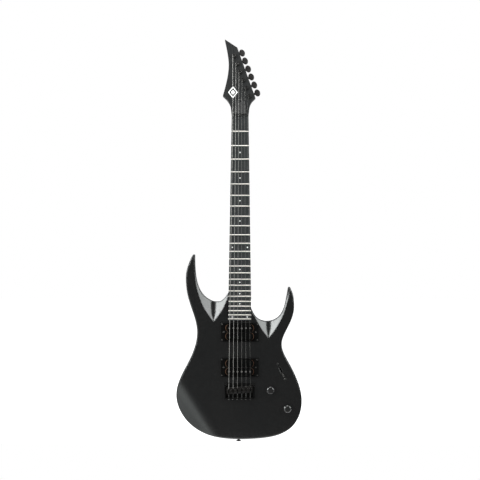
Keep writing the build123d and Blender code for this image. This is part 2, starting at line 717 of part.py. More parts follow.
def make_fretboard():
    """Tapered board with a cylindrical top, fret slots and seats for the dots."""
    with BuildPart() as board:
        with BuildSketch(front(0)):
            Polygon(*neck_outline(-BOARD_LENGTH, 0.0), align=None)
        extrude(amount=BOARD_THICK + 1.0)
        with BuildSketch(Plane.XY.offset(-BOARD_LENGTH - 5.0)):
            with Locations((0, BOARD_AXIS_Y)):
                Circle(BOARD_RADIUS)
        extrude(amount=BOARD_LENGTH + 10.0, mode=Mode.INTERSECT)
        with BuildSketch(front(-BOARD_THICK + FRET_TANG_DEPTH + 0.9)):
            with Locations(*[(0, fret_z(n)) for n in range(1, FRET_COUNT + 1)]):
                Rectangle(BOARD_END_WIDTH + 4.0, FRET_TANG_WIDTH)
        extrude(amount=BOARD_THICK, mode=Mode.SUBTRACT)
        with BuildSketch(front(DOT_DEPTH - BOARD_THICK)):
            with Locations(*dot_places()):
                Circle(DOT_RADIUS)
        extrude(amount=BOARD_THICK, mode=Mode.SUBTRACT)
        for z in side_dot_places():
            with BuildSketch(Plane.YZ.offset(-half_width(z))):
                with Locations((SIDE_DOT_Y, z)):
                    Circle(SIDE_DOT_RADIUS)
            extrude(amount=SIDE_DOT_DEPTH, both=True, mode=Mode.SUBTRACT)
    return board.part


def fret_profile(z):
    """Crown and tang section of a fret at the middle of the board."""
    foot = -BOARD_THICK
    tang = foot + FRET_TANG_DEPTH
    with BuildSketch(Plane.YZ) as profile:
        with BuildLine():
            Polyline((tang, z + FRET_TANG_HALF), (foot, z + FRET_TANG_HALF), (foot, z + FRET_WIDTH / 2))
            ThreePointArc((foot, z + FRET_WIDTH / 2), (foot - FRET_HEIGHT, z),
                          (foot, z - FRET_WIDTH / 2))
            Polyline((foot, z - FRET_WIDTH / 2), (foot, z - FRET_TANG_HALF), (tang, z - FRET_TANG_HALF),
                     (tang, z + FRET_TANG_HALF))
        make_face()
    return profile.sketch


def make_frets():
    """Crown and tang of every fret, turned both ways about the axis of the board's radius."""
    with BuildPart() as frets:
        for number in range(1, FRET_COUNT + 1):
            reach = math.degrees((half_width(fret_z(number)) - FRET_END_INSET) / BOARD_RADIUS)
            for side in (-1, 1):
                revolve(fret_profile(fret_z(number)), axis=BOARD_AXIS, revolution_arc=side * reach)
    return frets.part


def make_face_dots():
    with BuildPart() as dots:
        with BuildSketch(front(DOT_DEPTH - BOARD_THICK)):
            with Locations(*dot_places()):
                Circle(DOT_RADIUS)
        extrude(amount=DOT_DEPTH + 1.0)
        with BuildSketch(Plane.XY.offset(-BOARD_LENGTH)):
            with Locations((0, BOARD_AXIS_Y)):
                Circle(BOARD_RADIUS)
        extrude(amount=BOARD_LENGTH, mode=Mode.INTERSECT)
    return dots.part


def make_side_dots():
    with BuildPart() as dots:
        for z in side_dot_places():
            with BuildSketch(Plane.YZ.offset(-half_width(z))):
                with Locations((SIDE_DOT_Y, z)):
                    Circle(SIDE_DOT_RADIUS)
            extrude(amount=SIDE_DOT_DEPTH)
    return dots.part


def make_nut():
    """Black nut with a radiused top and one slot under each string."""
    with BuildPart() as nut:
        with BuildSketch(front(0)):
            with Locations((0, NUT_THICK / 2)):
                Rectangle(NUT_WIDTH, NUT_THICK)
        extrude(amount=NUT_HEIGHT + 1.0)
        with BuildSketch(Plane.XY.offset(-1.0)):
            with Locations((0, BOARD_RADIUS - NUT_HEIGHT)):
                Circle(BOARD_RADIUS)
        extrude(amount=NUT_THICK + 2.0, mode=Mode.INTERSECT)
        for index in range(STRING_COUNT):
            point = nut_point(index)
            floor = point.Y + string_radius(index) + NUT_SLOT_GAP
            with BuildSketch(front(floor)):
                with Locations((point.X, NUT_THICK / 2)):
                    Rectangle(STRING_DIAMETERS[index] + 2 * NUT_SLOT_GAP, NUT_THICK + 2.0)
            extrude(amount=NUT_HEIGHT, mode=Mode.SUBTRACT)
    return nut.part


def make_truss_rod():
    """Two-way rod: flat bar with a rounded back and its adjusting nut at the headstock."""
    bar_low = ROD_LOW_Z + 1.0
    with BuildPart() as rod:
        with BuildSketch(front(ROD_DEPTH - 0.2)):
            with Locations((0, (bar_low + ROD_BAR_TOP_Z) / 2)):
                RectangleRounded(ROD_WIDTH - 0.3, ROD_BAR_TOP_Z - bar_low, 2.0)
        extrude(amount=ROD_DEPTH - 0.6)
        with BuildSketch(Plane.XY.offset(ROD_BAR_TOP_Z - 2.0)):
            with Locations((0, ROD_NUT_Y)):
                Circle(ROD_CORE_RADIUS)
        extrude(amount=ROD_NUT_Z[0] - ROD_BAR_TOP_Z + 2.0)
        with BuildSketch(Plane.XY.offset(ROD_NUT_Z[0])):
            with Locations((0, ROD_NUT_Y)):
                Circle(ROD_NUT_RADIUS)
                RegularPolygon(2.0, 6, mode=Mode.SUBTRACT)
        extrude(amount=ROD_NUT_Z[1] - ROD_NUT_Z[0])
    return rod.part


def make_truss_rod_cover():
    """Bell-shaped plate over the rod's nut, held by one screw."""
    right = ROD_COVER_SIDE
    left = [(-x, y) for x, y in reversed(right)]
    with BuildPart() as cover:
        with BuildSketch(HEAD):
            with BuildLine():
                Spline(*right, (0, ROD_COVER_TOP), *left, tangents=((-0.2, 1), (-0.2, -1)),
                       tangent_scalars=(1.0, 1.0))
                Line(left[-1], right[0])
            make_face()
        extrude(amount=ROD_COVER_THICK)
        chamfer(cover.faces().sort_by(Axis.Y)[0].edges(), ROD_COVER_EDGE)
        with BuildSketch(HEAD):
            with Locations(ROD_COVER_SCREW):
                Circle(1.3)
        extrude(amount=ROD_COVER_THICK, mode=Mode.SUBTRACT)
    return cover.part


def joined(parts):
    """Separate solids gathered in one node."""
    with BuildPart() as group:
        for part in parts:
            add(part)
    return group.part


def screw(plane, places, head_radius, head_height, shank_radius, shank_length, recess=0.6):
    """Domed cross-head screws standing on a plane, with their shanks below it."""
    with BuildPart() as screws:
        with BuildSketch(plane):
            with Locations(*places):
                Circle(head_radius)
        extrude(amount=head_height)
        outward = Axis(plane.origin, plane.z_dir)
        fillet(screws.edges().group_by(outward)[-1], head_height * 0.6)
        with BuildSketch(plane.offset(head_height)):
            with Locations(*places):
                Rectangle(head_radius * 1.1, head_radius * 0.26)
                Rectangle(head_radius * 0.26, head_radius * 1.1)
        extrude(amount=-recess, mode=Mode.SUBTRACT)
        with BuildSketch(plane):
            with Locations(*places):
                Circle(shank_radius)
        extrude(amount=-shank_length)
    return screws.part


def lozenge(half_wide, half_high, mode=Mode.ADD):
    u, v = INLAY_UV
    Polygon((u - half_wide, v), (u, v - half_high), (u + half_wide, v), (u, v + half_high),
            align=None, mode=mode)


def inlay_sketch():
    """Plain lozenge outline with a small solid lozenge in it."""
    lozenge(11.5, 15.0)
    lozenge(8.6, 11.2, Mode.SUBTRACT)
    lozenge(5.0, 6.5)


def make_inlay():
    with BuildPart() as inlay:
        with BuildSketch(HEAD):
            inlay_sketch()
        extrude(amount=-INLAY_DEPTH)
    return inlay.part


# ---------------------------------------------------------------- tuners
def make_tuner_housings():
    """Cast boxes on the back of the headstock, hollow for the worm and its wheel."""
    with BuildPart() as housings:
        for index in range(STRING_COUNT):
            plane = tuner_plane(index)
            with BuildSketch(plane.offset(-HEAD_THICK)):
                with Locations((0, HOUSING_CENTRE_Y)):
                    RectangleRounded(HOUSING_WIDTH, HOUSING_LENGTH, 3.0)
            extrude(amount=-HOUSING_DEPTH)
            with BuildSketch(plane.offset(-HEAD_THICK)):
                with Locations((HOUSING_TAB_REACH / 2, 0)):
                    SlotOverall(-HOUSING_TAB_REACH, HOUSING_TAB_WIDTH)
                with Locations((HOUSING_TAB_X, 0)):
                    Circle(TUNER_SCREW_RADIUS + 0.15, mode=Mode.SUBTRACT)
            extrude(amount=-HOUSING_TAB_THICK)
            with BuildSketch(plane.offset(-HEAD_THICK - HOUSING_WALL)):
                with Locations((0, HOUSING_CENTRE_Y)):
                    Rectangle(HOUSING_WIDTH - 2 * HOUSING_WALL, HOUSING_LENGTH - 2 * HOUSING_WALL)
            extrude(amount=-HOUSING_DEPTH + 2 * HOUSING_WALL, mode=Mode.SUBTRACT)
            with BuildSketch(plane.offset(-HEAD_THICK)):
                Circle(POST_RADIUS + RUNNING_GAP)
            extrude(amount=-HOUSING_WALL, mode=Mode.SUBTRACT)
            with BuildSketch(shaft_plane(index)):
                Circle(SHAFT_RADIUS + RUNNING_GAP)
            extrude(amount=HOUSING_WIDTH, mode=Mode.SUBTRACT)
    return housings.part


def shaft_plane(index):
    """Plane across the button shaft where it passes the worm wheel."""
    plane = tuner_plane(index)
    centre = plane.from_local_coords((0, WORM_OFFSET, WORM_DEPTH))
    return Plane(origin=centre, x_dir=plane.y_dir, z_dir=plane.x_dir)


def make_tuner_post(index):
    """Post with a waist for the string and the worm wheel at its foot."""
    plane = tuner_plane(index)
    with BuildPart() as post:
        with BuildSketch(plane.offset(POST_FOOT)):
            Circle(POST_RADIUS)
        extrude(amount=WAIST_LOW - POST_FOOT)
        with BuildSketch(plane.offset(WAIST_LOW)):
            Circle(POST_WAIST_RADIUS)
        extrude(amount=WAIST_HIGH - WAIST_LOW)
        with BuildSketch(plane.offset(WAIST_HIGH)):
            Circle(POST_RADIUS)
        extrude(amount=POST_TOP - WAIST_HIGH)
        with BuildSketch(plane.offset(WORM_DEPTH - WHEEL_THICK / 2)):
            Circle(WHEEL_RADIUS)
            with PolarLocations(WHEEL_RADIUS, WHEEL_TEETH):
                Circle(WHEEL_TOOTH_GAP, mode=Mode.SUBTRACT)
        extrude(amount=WHEEL_THICK)
        with BuildSketch(plane.offset(POST_TOP)):
            SlotOverall(3.2, 0.9, rotation=70)
        extrude(amount=-1.2, mode=Mode.SUBTRACT)
    return post.part


def make_tuner_button(index):
    """Worm, shaft and oval button that turn together."""
    plane = shaft_plane(index)
    with BuildPart() as button:
        with BuildSketch(plane.offset(-WORM_HALF)):
            Circle(WORM_RADIUS)
        extrude(amount=2 * WORM_HALF)
        with BuildSketch(plane.offset(-WORM_HALF)):
            Circle(SHAFT_RADIUS)
        extrude(amount=POST_TO_BUTTON + WORM_HALF)
        with BuildSketch(plane.offset(BUTTON_COLLAR_X)):
            Circle(BUTTON_COLLAR_RADIUS)
        extrude(amount=BUTTON_COLLAR_LENGTH)
        flat = Plane(origin=plane.offset(POST_TO_BUTTON).origin, x_dir=plane.z_dir,
                     z_dir=HEAD.z_dir)
        with BuildSketch(flat):
            Ellipse(BUTTON_HALF_WIDTH, BUTTON_HALF_LENGTH)
        extrude(amount=BUTTON_HALF_THICK, both=True)
        ends = button.edges().filter_by(GeomType.ELLIPSE)
        fillet(ends, BUTTON_EDGE)
    return button.part


def make_tuner_bushings():
    """Threaded sleeve, washer and hexagon nut of every tuner."""
    with BuildPart() as bushings:
        for index in range(STRING_COUNT):
            plane = tuner_plane(index)
            with BuildSketch(plane.offset(-HEAD_THICK)):
                Circle(BUSHING_RADIUS)
            extrude(amount=HEAD_THICK)
            with BuildSketch(plane):
                Circle(WASHER_RADIUS)
            extrude(amount=WASHER_THICK)
            with BuildSketch(plane.offset(WASHER_THICK)):
                RegularPolygon(HEX_RADIUS, 6, rotation=12)
            extrude(amount=HEX_HEIGHT)
            with BuildSketch(plane.offset(-HEAD_THICK)):
                Circle(POST_RADIUS + RUNNING_GAP)
            extrude(amount=HEAD_THICK + WASHER_THICK + HEX_HEIGHT, mode=Mode.SUBTRACT)
    return bushings.part


def make_tuner_screws():
    with BuildPart() as screws:
        for index in range(STRING_COUNT):
            plane = tuner_plane(index)
            seat = plane.from_local_coords((HOUSING_TAB_X, 0, -HEAD_THICK - HOUSING_TAB_THICK))
            back = Plane(origin=seat, x_dir=plane.x_dir, z_dir=-plane.z_dir)
            cross_length, cross_width, cross_floor = TUNER_CROSS
            with BuildSketch(back):
                Circle(TUNER_HEAD_RADIUS)
                Rectangle(cross_length, cross_width, mode=Mode.SUBTRACT)
                Rectangle(cross_width, cross_length, mode=Mode.SUBTRACT)
            extrude(amount=TUNER_HEAD_HEIGHT)
            with BuildSketch(back):
                Circle(TUNER_HEAD_RADIUS)
            extrude(amount=cross_floor)
            with BuildSketch(back):
                Circle(TUNER_SCREW_RADIUS)
            extrude(amount=-TUNER_SCREW_LENGTH)
    return screws.part


# ---------------------------------------------------------------- pickups
def bobbin_rows(which):
    """Heights of the screw-pole bobbin and of the slug bobbin of a pickup."""
    rows = (PICKUP_Z[which] + BOBBIN_PITCH / 2, PICKUP_Z[which] - BOBBIN_PITCH / 2)
    return rows[which], rows[1 - which]


def pole_places(row):
    return [(string_x(i, POLE_SPACING), row) for i in range(STRING_COUNT)]


def height_places(which):
    return [(side * HEIGHT_SCREW_X, PICKUP_Z[which]) for side in (-1, 1)]


def make_pickup_ring(which):
    """Tapered mounting ring with a window for the bobbins and its screw holes."""
    centre = (0, PICKUP_Z[which])
    with BuildPart() as ring:
        with BuildSketch(front(BODY_FACE)):
            with Locations(centre):
                RectangleRounded(RING_LENGTH, RING_WIDTH, RING_CORNER)
        extrude(amount=RING_HEIGHTS[which], taper=RING_TAPER)
        fillet(ring.faces().sort_by(Axis.Y)[0].edges(), 1.2)
        with BuildSketch(front(BODY_FACE)):
            with Locations(centre):
                RectangleRounded(RING_OPEN_LENGTH, RING_OPEN_WIDTH, 2.0)
            with Locations(*ring_screw_places(PICKUP_Z[which])):
                Circle(PILOT_RADIUS)
            with Locations(*height_places(which)):
                Circle(HEIGHT_SCREW_RADIUS + 0.3)
        extrude(amount=RING_HEIGHTS[which], mode=Mode.SUBTRACT)
    return ring.part


def make_pickup_bobbins(which):
    """Both bobbins: two flanges and a core each, bored for their poles."""
    top = PICKUP_TOP_Y[which]
    foot = top + BOBBIN_HEIGHT
    screw_row, slug_row = bobbin_rows(which)
    layers = ((foot, BOBBIN_LENGTH, BOBBIN_WIDTH, FLANGE_THICK),
              (foot, CORE_LENGTH, CORE_WIDTH, BOBBIN_HEIGHT),
              (top + FLANGE_THICK, BOBBIN_LENGTH, BOBBIN_WIDTH, FLANGE_THICK))
    with BuildPart() as bobbins:
        for depth, length, width, height in layers:
            with BuildSketch(front(depth)):
                with Locations((0, screw_row), (0, slug_row)):
                    SlotOverall(length, width)
            extrude(amount=height)
        fillet(bobbins.faces().sort_by(Axis.Y)[0:2].edges(), 0.6)
        with BuildSketch(front(foot)):
            with Locations(*pole_places(screw_row)):
                Circle(POLE_RADIUS)
        extrude(amount=BOBBIN_HEIGHT, mode=Mode.SUBTRACT)
        with BuildSketch(front(foot)):
            with Locations(*pole_places(slug_row)):
                Circle(POLE_RADIUS)
        extrude(amount=BOBBIN_HEIGHT - FLANGE_THICK, mode=Mode.SUBTRACT)
    return bobbins.part


def make_pickup_coils(which):
    """Wound wire round each core, as a plain band."""
    rows = bobbin_rows(which)
    with BuildPart() as coils:
        for row in rows:
            with BuildSketch(front(PICKUP_TOP_Y[which] + BOBBIN_HEIGHT - FLANGE_THICK)):
                with Locations((0, row)):
                    SlotOverall(COIL_LENGTH, COIL_WIDTH)
                    SlotOverall(CORE_LENGTH, CORE_WIDTH, mode=Mode.SUBTRACT)
            extrude(amount=BOBBIN_HEIGHT - 2 * FLANGE_THICK)
    return coils.part


def make_pickup_poles(which):
    """Slotted pole screws in one bobbin and plain slugs hidden in the other."""
    top = PICKUP_TOP_Y[which]
    foot = top + BOBBIN_HEIGHT
    screw_row, slug_row = bobbin_rows(which)
    with BuildPart() as poles:
        with BuildSketch(front(foot)):
            with Locations(*pole_places(screw_row)):
                Circle(POLE_RADIUS)
        extrude(amount=BOBBIN_HEIGHT + POLE_PROUD)
        with BuildSketch(front(top - POLE_PROUD)):
            with Locations(*pole_places(screw_row)):
                Rectangle(2 * POLE_RADIUS + 1.0, POLE_SLOT)
        extrude(amount=-POLE_SLOT, mode=Mode.SUBTRACT)
        with BuildSketch(front(foot)):
            with Locations(*pole_places(slug_row)):
                Circle(POLE_RADIUS)
        extrude(amount=BOBBIN_HEIGHT - FLANGE_THICK)
    return poles.part


def make_pickup_baseplate(which):
    """Baseplate with two ears for the height screws, and the bar magnet under it."""
    foot = PICKUP_TOP_Y[which] + BOBBIN_HEIGHT + BASE_THICK
    centre = (0, PICKUP_Z[which])
    with BuildPart() as base:
        with BuildSketch(front(foot)):
            with Locations(centre):
                Rectangle(BOBBIN_LENGTH, 2 * BOBBIN_PITCH - 1.6)
                RectangleRounded(BASE_EAR_LENGTH, BASE_EAR_WIDTH, 2.0)
            with Locations(*height_places(which)):
                Circle(HEIGHT_SCREW_RADIUS, mode=Mode.SUBTRACT)
        extrude(amount=BASE_THICK)
        with BuildSketch(front(foot + MAGNET_THICK)):
            with Locations(centre):
                Rectangle(MAGNET_LENGTH, MAGNET_WIDTH)
        extrude(amount=MAGNET_THICK)
    return base.part


def make_pickup_screws():
    """Corner screws of both rings and the two height screws of each pickup."""
    groups = []
    for which, z in enumerate(PICKUP_Z):
        ring_top = front(BODY_FACE - RING_HEIGHTS[which])
        groups.append(screw(ring_top, ring_screw_places(z), RING_HEAD_RADIUS, 1.2, PILOT_RADIUS - 0.05,
                            RING_HEIGHTS[which] + PILOT_DEPTH - 1.0))
        reach = PICKUP_TOP_Y[which] + BOBBIN_HEIGHT - BODY_FACE + RING_HEIGHTS[which] + 4.0
        groups.append(screw(ring_top, height_places(which), RING_HEAD_RADIUS, 1.2,
                            HEIGHT_SCREW_RADIUS - 0.05, reach))
    return joined(groups)


# ---------------------------------------------------------------- bridge
def make_bridge_plate():
    """Base plate with side and back walls, bored for strings and intonation screws."""
    middle = (PLATE_FRONT_Z + PLATE_BACK_Z) / 2
    depth = PLATE_FRONT_Z - PLATE_BACK_Z
    with BuildPart() as plate:
        with BuildSketch(front(BODY_FACE)):
            with Locations((0, middle)):
                RectangleRounded(PLATE_WIDTH, depth, 2.0)
        extrude(amount=BODY_FACE - PLATE_WALL_TOP_Y)
        with BuildSketch(front(PLATE_TOP_Y)):
            with Locations((0, PLATE_BACK_Z + PLATE_WALL + depth / 2)):
                Rectangle(PLATE_WIDTH - 2 * PLATE_WALL, depth)
            with Locations((0, PLATE_FRONT_Z)):
                Rectangle(PLATE_WIDTH + 2.0, 2 * PLATE_LIP)
        extrude(amount=20.0, mode=Mode.SUBTRACT)
        fillet(plate.faces().sort_by(Axis.Y)[0].edges(), 0.6)
        with BuildSketch(front(BODY_FACE)):
            with Locations(*string_hole_places()):
                Circle(1.7)
            with Locations(*plate_screw_places()):
                Circle(PILOT_RADIUS)
        extrude(amount=PLATE_THICK, mode=Mode.SUBTRACT)
        with BuildSketch(Plane.XY.offset(PLATE_BACK_Z)):
            with Locations(*[(string_x(i, BRIDGE_SPACING), INTONATION_Y) for i in range(STRING_COUNT)]):
                Circle(INTONATION_RADIUS + 0.15)
        extrude(amount=PLATE_WALL, mode=Mode.SUBTRACT)
    return plate.part


def saddle_front(index):
    return saddle_z(index) + SADDLE_NOSE


def make_bridge_saddles():
    """Six string saddles with a rounded nose and a long slot for the string."""
    with BuildPart() as saddles:
        for index in range(STRING_COUNT):
            point = saddle_point(index)
            top = point.Y + string_radius(index) + SADDLE_DROP
            nose = saddle_front(index)
            tail = nose - SADDLE_LENGTH
            with BuildSketch(Plane.YZ.offset(point.X - SADDLE_WIDTH / 2)):
                with BuildLine():
                    Polyline((top, nose - SADDLE_NOSE_RADIUS), (top, tail + SADDLE_TAIL_RAMP),
                             (INTONATION_Y - SADDLE_TAIL_RISE, tail), (SADDLE_FLOOR_Y, tail),
                             (SADDLE_FLOOR_Y, nose), (top + SADDLE_NOSE_RADIUS, nose))
                    RadiusArc((top + SADDLE_NOSE_RADIUS, nose), (top, nose - SADDLE_NOSE_RADIUS),
                              -SADDLE_NOSE_RADIUS)
                make_face()
            extrude(amount=SADDLE_WIDTH)
        chamfer(saddles.edges().filter_by(Axis.Z), 0.5)
        for index in range(STRING_COUNT):
            point = saddle_point(index)
            slot_front = point.Z + SLOT_LEAD
            slot_back = STRING_HOLE_Z - 2.4
            with BuildSketch(Plane.YZ.offset(point.X - SADDLE_SLOT / 2)):
                Polygon((point.Y - 2.0, slot_front), (point.Y + SLOT_WALL, slot_front),
                        (SADDLE_FLOOR_Y, STRING_HOLE_Z + 4.0), (SADDLE_FLOOR_Y, slot_back),
                        (point.Y - 2.0, slot_back), align=None)
            extrude(amount=SADDLE_SLOT, mode=Mode.SUBTRACT)
            with BuildSketch(Plane.XY.offset(saddle_front(index) - SADDLE_LENGTH)):
                with Locations((point.X, INTONATION_Y)):
                    Circle(INTONATION_RADIUS + 0.05)
            extrude(amount=2.2, mode=Mode.SUBTRACT)
            with BuildSketch(front(SADDLE_FLOOR_Y)):
                with Locations(*height_screw_places(index)):
                    Circle(HEIGHT_PIN_RADIUS + 0.05)
            extrude(amount=20.0, mode=Mode.SUBTRACT)
    return saddles.part


def height_screw_places(index):
    point = saddle_point(index)
    return [(point.X + side * 3.3, saddle_front(index) - 4.4) for side in (-1, 1)]


def make_saddle_height_screws():
    with BuildPart() as screws:
        for index in range(STRING_COUNT):
            reach = PLATE_TOP_Y - saddle_point(index).Y - 0.8
            with BuildSketch(front(PLATE_TOP_Y)):
                with Locations(*height_screw_places(index)):
                    Circle(HEIGHT_PIN_RADIUS)
            extrude(amount=reach)
            with BuildSketch(front(PLATE_TOP_Y - reach)):
                with Locations(*height_screw_places(index)):
                    RegularPolygon(0.7, 6)
            extrude(amount=-1.0, mode=Mode.SUBTRACT)
    return screws.part


def intonation_plane():
    return Plane(origin=(0, INTONATION_Y, PLATE_BACK_Z), x_dir=(1, 0, 0), z_dir=(0, 0, -1))


def make_intonation_screws():
    """Screws through the back wall into the saddles, heads behind the wall."""
    places = [(string_x(i, BRIDGE_SPACING), 0) for i in range(STRING_COUNT)]
    groups = []
    for index, place in enumerate(places):
        reach = saddle_front(index) - SADDLE_LENGTH + 2.0 - PLATE_BACK_Z
        groups.append(screw(intonation_plane(), [place], 2.5, 1.8, INTONATION_RADIUS, reach))
    return joined(groups)


def make_intonation_springs():
    """Coil springs between the back wall and the saddles."""
    with BuildPart() as springs:
        for index in range(STRING_COUNT):
            low = PLATE_BACK_Z + PLATE_WALL + SPRING_WIRE
            high = saddle_front(index) - SADDLE_LENGTH - SPRING_WIRE
            turns = 5
            x = string_x(index, BRIDGE_SPACING)
            with BuildLine() as coil:
                Helix((high - low) / turns, high - low, SPRING_RADIUS, center=(x, INTONATION_Y, low))
            with BuildSketch(Plane(origin=coil.line @ 0, z_dir=coil.line % 0)):
                Circle(SPRING_WIRE)
            sweep(path=coil.line, is_frenet=True)
    return springs.part


def make_string_ferrules():
    """Cups in the back of the body that hold the ball ends."""
    with BuildPart() as ferrules:
        with BuildSketch(front(BODY_BACK - FERRULE_DEPTH)):
            with Locations(*string_hole_places()):
                Circle(FERRULE_RADIUS)
        extrude(amount=-FERRULE_DEPTH)
        with BuildSketch(front(BODY_BACK)):
            with Locations(*string_hole_places()):
                Circle(FERRULE_RADIUS + 0.9)
        extrude(amount=-0.8)
        with BuildSketch(front(BODY_BACK + 0.8)):
            with Locations(*string_hole_places()):
                Circle(FERRULE_BORE)
        extrude(amount=FERRULE_DEPTH - 1.0, mode=Mode.SUBTRACT)
        with BuildSketch(front(BODY_BACK)):
            with Locations(*string_hole_places()):
                Circle(1.7)
        extrude(amount=FERRULE_DEPTH, mode=Mode.SUBTRACT)
    return ferrules.part


# ---------------------------------------------------------------- controls
def make_knob(place):
    """Metal knob with a rounded rim, hollow underneath to clear the pot's nut."""
    x, z = place
    with BuildPart() as knob:
        with BuildSketch(front(BODY_FACE - KNOB_GAP)):
            with Locations((x, z)):
                Circle(KNOB_RADIUS)
        extrude(amount=KNOB_HEIGHT)
        fillet(knob.faces().sort_by(Axis.Y)[0].edges(), KNOB_RIM)
        with BuildSketch(front(BODY_FACE - KNOB_GAP)):
            with Locations((x, z)):
                with PolarLocations(KNOB_RADIUS + KNURL_CUT * 0.55, KNURL_COUNT):
                    Circle(KNURL_CUT)
        extrude(amount=KNOB_HEIGHT - KNURL_MARGIN, mode=Mode.SUBTRACT)
        with BuildSketch(front(BODY_FACE - KNOB_GAP)):
            with Locations((x, z)):
                Circle(POT_NUT_RADIUS + 0.8)
        extrude(amount=KNOB_HOLLOW, mode=Mode.SUBTRACT)
        with BuildSketch(front(BODY_FACE - KNOB_GAP)):
            with Locations((x, z)):
                Circle(POT_SHAFT_RADIUS)
        extrude(amount=KNOB_HEIGHT - KNOB_CAP, mode=Mode.SUBTRACT)
        with BuildSketch(Plane(origin=(x, BODY_FACE - KNOB_GAP - KNOB_SCREW_DROP, z), z_dir=(0, 0, -1))):
            Circle(KNOB_SCREW_RADIUS)
        extrude(amount=KNOB_RADIUS + 1.0, mode=Mode.SUBTRACT)
    return knob.part


def make_pot_shaft(place):
    """Turning shaft of a pot, from its wiper to the inside of the knob."""
    tip = BODY_FACE - KNOB_GAP - KNOB_HEIGHT + KNOB_CAP
    with BuildPart() as shaft:
        with BuildSketch(front(POT_BACK_Y - 3.0)):
            with Locations(place):
                Circle(POT_SHAFT_RADIUS)
        extrude(amount=POT_BACK_Y - 3.0 - tip)
        with BuildSketch(front(POT_BACK_Y - 3.0)):
            with Locations(place):
                Circle(8.0)
        extrude(amount=1.0)
    return shaft.part


def make_pot(place):
    """Pot housing under the top, threaded bush through it, washer and nut on it."""
    with BuildPart() as pot:
        with BuildSketch(front(POT_BACK_Y)):
            with Locations(place):
                Circle(POT_CAN_RADIUS)
        extrude(amount=POT_BACK_Y - CAVITY_CEILING_Y)
        with BuildSketch(front(POT_BACK_Y - 1.0)):
            with Locations(place):
                Circle(POT_CAN_RADIUS - 1.0)
        extrude(amount=5.0, mode=Mode.SUBTRACT)
        with BuildSketch(front(CAVITY_CEILING_Y + 3.0)):
            with Locations((place[0], place[1] + POT_CAN_RADIUS)):
                Rectangle(14.0, 12.0)
        extrude(amount=1.4)
        with BuildSketch(front(CAVITY_CEILING_Y)):
            with Locations(place):
                Circle(POT_THREAD_RADIUS - RUNNING_GAP)
        extrude(amount=BODY_TOP_WALL + POT_THREAD_PROUD)
        with BuildSketch(front(BODY_FACE)):
            with Locations(place):
                Circle(POT_NUT_RADIUS)
        extrude(amount=0.8)
        with BuildSketch(front(BODY_FACE - 0.8)):
            with Locations(place):
                RegularPolygon(POT_NUT_RADIUS, 6)
        extrude(amount=2.0)
        with BuildSketch(front(POT_BACK_Y - 1.0)):
            with Locations(place):
                Circle(POT_SHAFT_RADIUS + RUNNING_GAP)
        extrude(amount=POT_BACK_Y + POT_THREAD_PROUD, mode=Mode.SUBTRACT)
    return pot.part


def make_selector_switch():
    """Blade switch frame: top plate, two cheeks, pivot pin and contact board."""
    with BuildPart() as switch:
        with BuildSketch(selector_plane(CAVITY_CEILING_Y + SWITCH_SHEET)):
            RectangleRounded(13.0, 50.0, 2.0)
            SlotOverall(SELECTOR_SLOT + 2.0, 4.0, rotation=90, mode=Mode.SUBTRACT)
            with GridLocations(1, SELECTOR_SCREW_SPACING, 1, 2):
                Circle(SELECTOR_SCREW_RADIUS, mode=Mode.SUBTRACT)
        extrude(amount=SWITCH_SHEET)
        for side in (-1, 1):
            with BuildSketch(selector_plane(CAVITY_CEILING_Y + SWITCH_SHEET)):
                with Locations((side * 5.2, 0)):
                    Rectangle(1.6, 30.0)
            extrude(amount=-SWITCH_DEPTH)
        middle = selector_plane(LEVER_PIVOT_Y)
        pin = Plane(origin=middle.origin - middle.x_dir * 5.0, z_dir=middle.x_dir)
        with BuildSketch(pin):
            Circle(LEVER_PIN_RADIUS)
        extrude(amount=10.0)
        with BuildSketch(selector_plane(CAVITY_CEILING_Y + SWITCH_SHEET + SWITCH_DEPTH - 8.0)):
            with Locations((7.0, 0)):
                Rectangle(2.0, 42.0)
        extrude(amount=-8.0)
    return switch.part


def make_selector_lever():
    """Blade lever with its slim tip, leaning to the bridge end of the slot at rest."""
    middle = selector_plane(LEVER_PIVOT_Y)
    lean = math.radians(LEVER_REST_ANGLE)
    along = -middle.y_dir * math.sin(lean) + middle.z_dir * math.cos(lean)
    blade = Plane(origin=middle.origin - middle.x_dir * LEVER_THICK / 2, x_dir=along,
                  z_dir=middle.x_dir)
    with BuildPart() as lever:
        with BuildSketch(blade):
            with Locations(((LEVER_REACH - LEVER_TAIL) / 2, 0)):
                RectangleRounded(LEVER_REACH + LEVER_TAIL, LEVER_WIDTH, 1.2)
            Circle(LEVER_HUB_RADIUS)
            Circle(LEVER_PIN_RADIUS + RUNNING_GAP, mode=Mode.SUBTRACT)
        extrude(amount=LEVER_THICK)
        with BuildSketch(blade.offset(LEVER_THICK / 2)):
            with Locations((LEVER_REACH + 1.0, 0)):
                RectangleRounded(TIP_HEIGHT, TIP_LENGTH, 1.6)
        extrude(amount=TIP_WIDTH / 2, both=True)
        tip_edges = lever.edges().group_by(Axis(middle.origin, along))[-1]
        fillet(tip_edges, 0.7)
    return lever.part


def make_cavity_cover():
    with BuildPart() as cover:
        with BuildSketch(front(BODY_BACK)):
            control_hull(COVER_LEDGE - 0.3)
            with Locations(*COVER_SCREWS):
                Circle(PILOT_RADIUS, mode=Mode.SUBTRACT)
        extrude(amount=COVER_THICK)
    return cover.part


